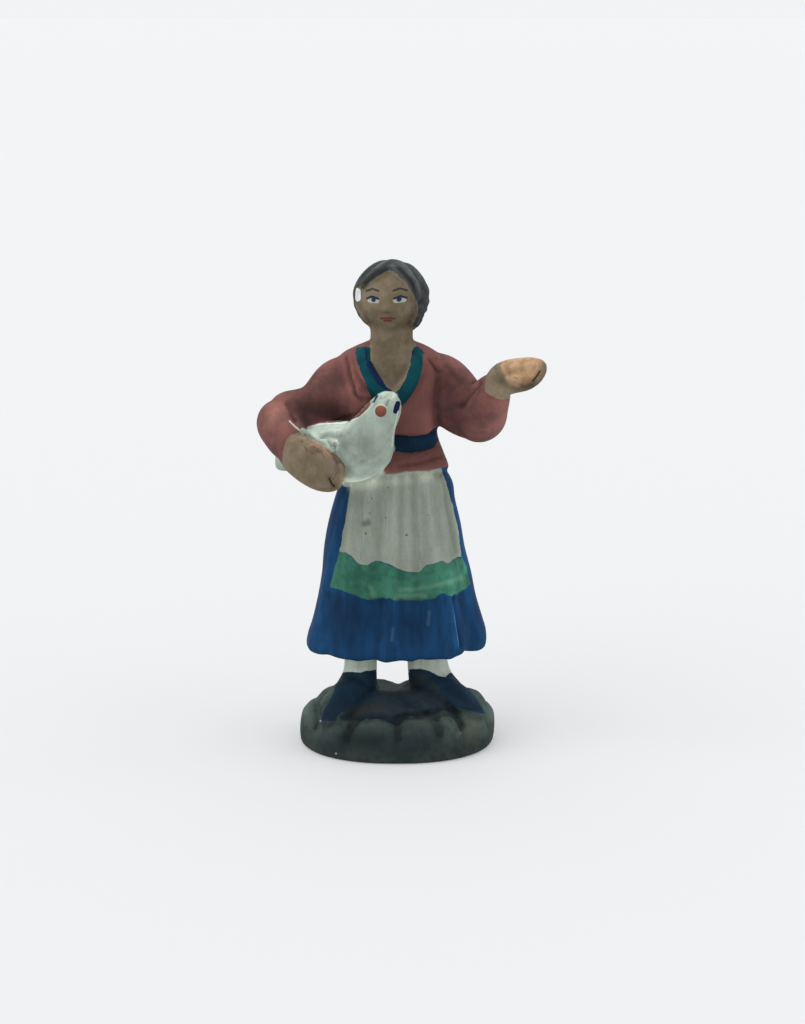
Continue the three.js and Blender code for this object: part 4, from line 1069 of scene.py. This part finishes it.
# Uneven paint and painted light and shade: the corners' tone, which holds the painted light and shade, times
# fine brush lines and grain.
unevenPaintAndShading = node("Math", {0: noises["brush"], 1: 0.26, 2: 0.72}, operation="MULTIPLY_ADD")
unevenPaintAndShading = node("Math", {0: noises["grain"], 1: 0.3, 2: unevenPaintAndShading}, operation="MULTIPLY_ADD")
toneHere = node("Attribute", output=2, attribute_name="tone")
unevenPaintAndShading = node("Math", {0: toneHere, 1: unevenPaintAndShading}, operation="MULTIPLY")
colour = node("VectorMath", {0: colour, "Scale": unevenPaintAndShading}, operation="SCALE")
# Relief too fine for the mesh, up to 0.05 mm deep: lumps of 1 mm, brush lines and the clay's own grain.
relief = node("Math", {0: noises["brush"], 1: 0.5, 2: noises["middle"]}, operation="MULTIPLY_ADD")
relief = node("Math", {0: noises["grain"], 1: 0.6, 2: relief}, operation="MULTIPLY_ADD")
shader = node("BsdfPrincipled", {
    "Base Color": colour, "Specular IOR Level": 0.08,
    "Normal": node("Bump", {"Height": relief, "Distance": 0.00006, "Strength": 0.8}),
    "Roughness": node("MapRange", {0: noises["grain"], 3: 0.6, 4: 0.8}),
})
node("OutputMaterial", {0: shader}, output=None)
figureMesh.materials.clear()
figureMesh.materials.append(material)
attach(figure, "root")
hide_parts("terracotta_figure")
print("stage: paint")

# A plain pale floor that reaches 60 m to each side, and soft studio light from above the camera's left.
floorMesh = bpy.data.meshes.new("floor")
floorMesh.from_pydata([(-60, -60, 0), (60, -60, 0), (60, 60, 0), (-60, 60, 0)], [], [(0, 1, 2, 3)])
floor = bpy.data.objects.new("floor", floorMesh)
bpy.context.scene.collection.objects.link(floor)
floorPaint = bpy.data.materials.new("pale_floor")
floorPaint.use_nodes = True
floorLooks = {"Base Color": linear("#bdbdbd"), "Emission Color": linear("#f2f3f5"), "Emission Strength": 0.27,
              "Roughness": 0.9}
for name, value in floorLooks.items():
    floorPaint.node_tree.nodes["Principled BSDF"].inputs[name].default_value = value
floorMesh.materials.append(floorPaint)

# Each light has its place in metres, its spread in degrees and its power.
lights = {"key": ((-0.8, -0.5, 0.8), 60, 1.1), "fill": ((0.9, -0.15, 0.7), 60, 0.5)}
for name, (place, spread, power) in lights.items():
    lamp = bpy.data.lights.new(name, "SUN")
    lamp.angle = np.radians(spread)
    lamp.energy = power
    lampObject = bpy.data.objects.new(name, lamp)
    bpy.context.scene.collection.objects.link(lampObject)
    lampObject.location = place
    lampObject.rotation_euler = (Vector((0, 0, 0.035)) - Vector(place)).to_track_quat("-Z", "Y").to_euler()
world = bpy.data.worlds.new("studio")
world.use_nodes = True
sky = world.node_tree.nodes
direction = sky.new("ShaderNodeTexCoord")
height = sky.new("ShaderNodeSeparateXYZ")
fade = sky.new("ShaderNodeMapRange")
for name, value in {"From Min": 0.05, "From Max": 0.9, "To Min": 1.0, "To Max": 1.05}.items():
    fade.inputs[name].default_value = value
world.node_tree.links.new(direction.outputs["Generated"], height.inputs[0])
world.node_tree.links.new(height.outputs["Z"], fade.inputs["Value"])
world.node_tree.links.new(fade.outputs[0], sky["Background"].inputs["Strength"])
sky["Background"].inputs["Color"].default_value = linear("#f2f3f5")
bpy.context.scene.world = world
bpy.context.scene.view_settings.view_transform = "Standard"
print("stage: floor and light")
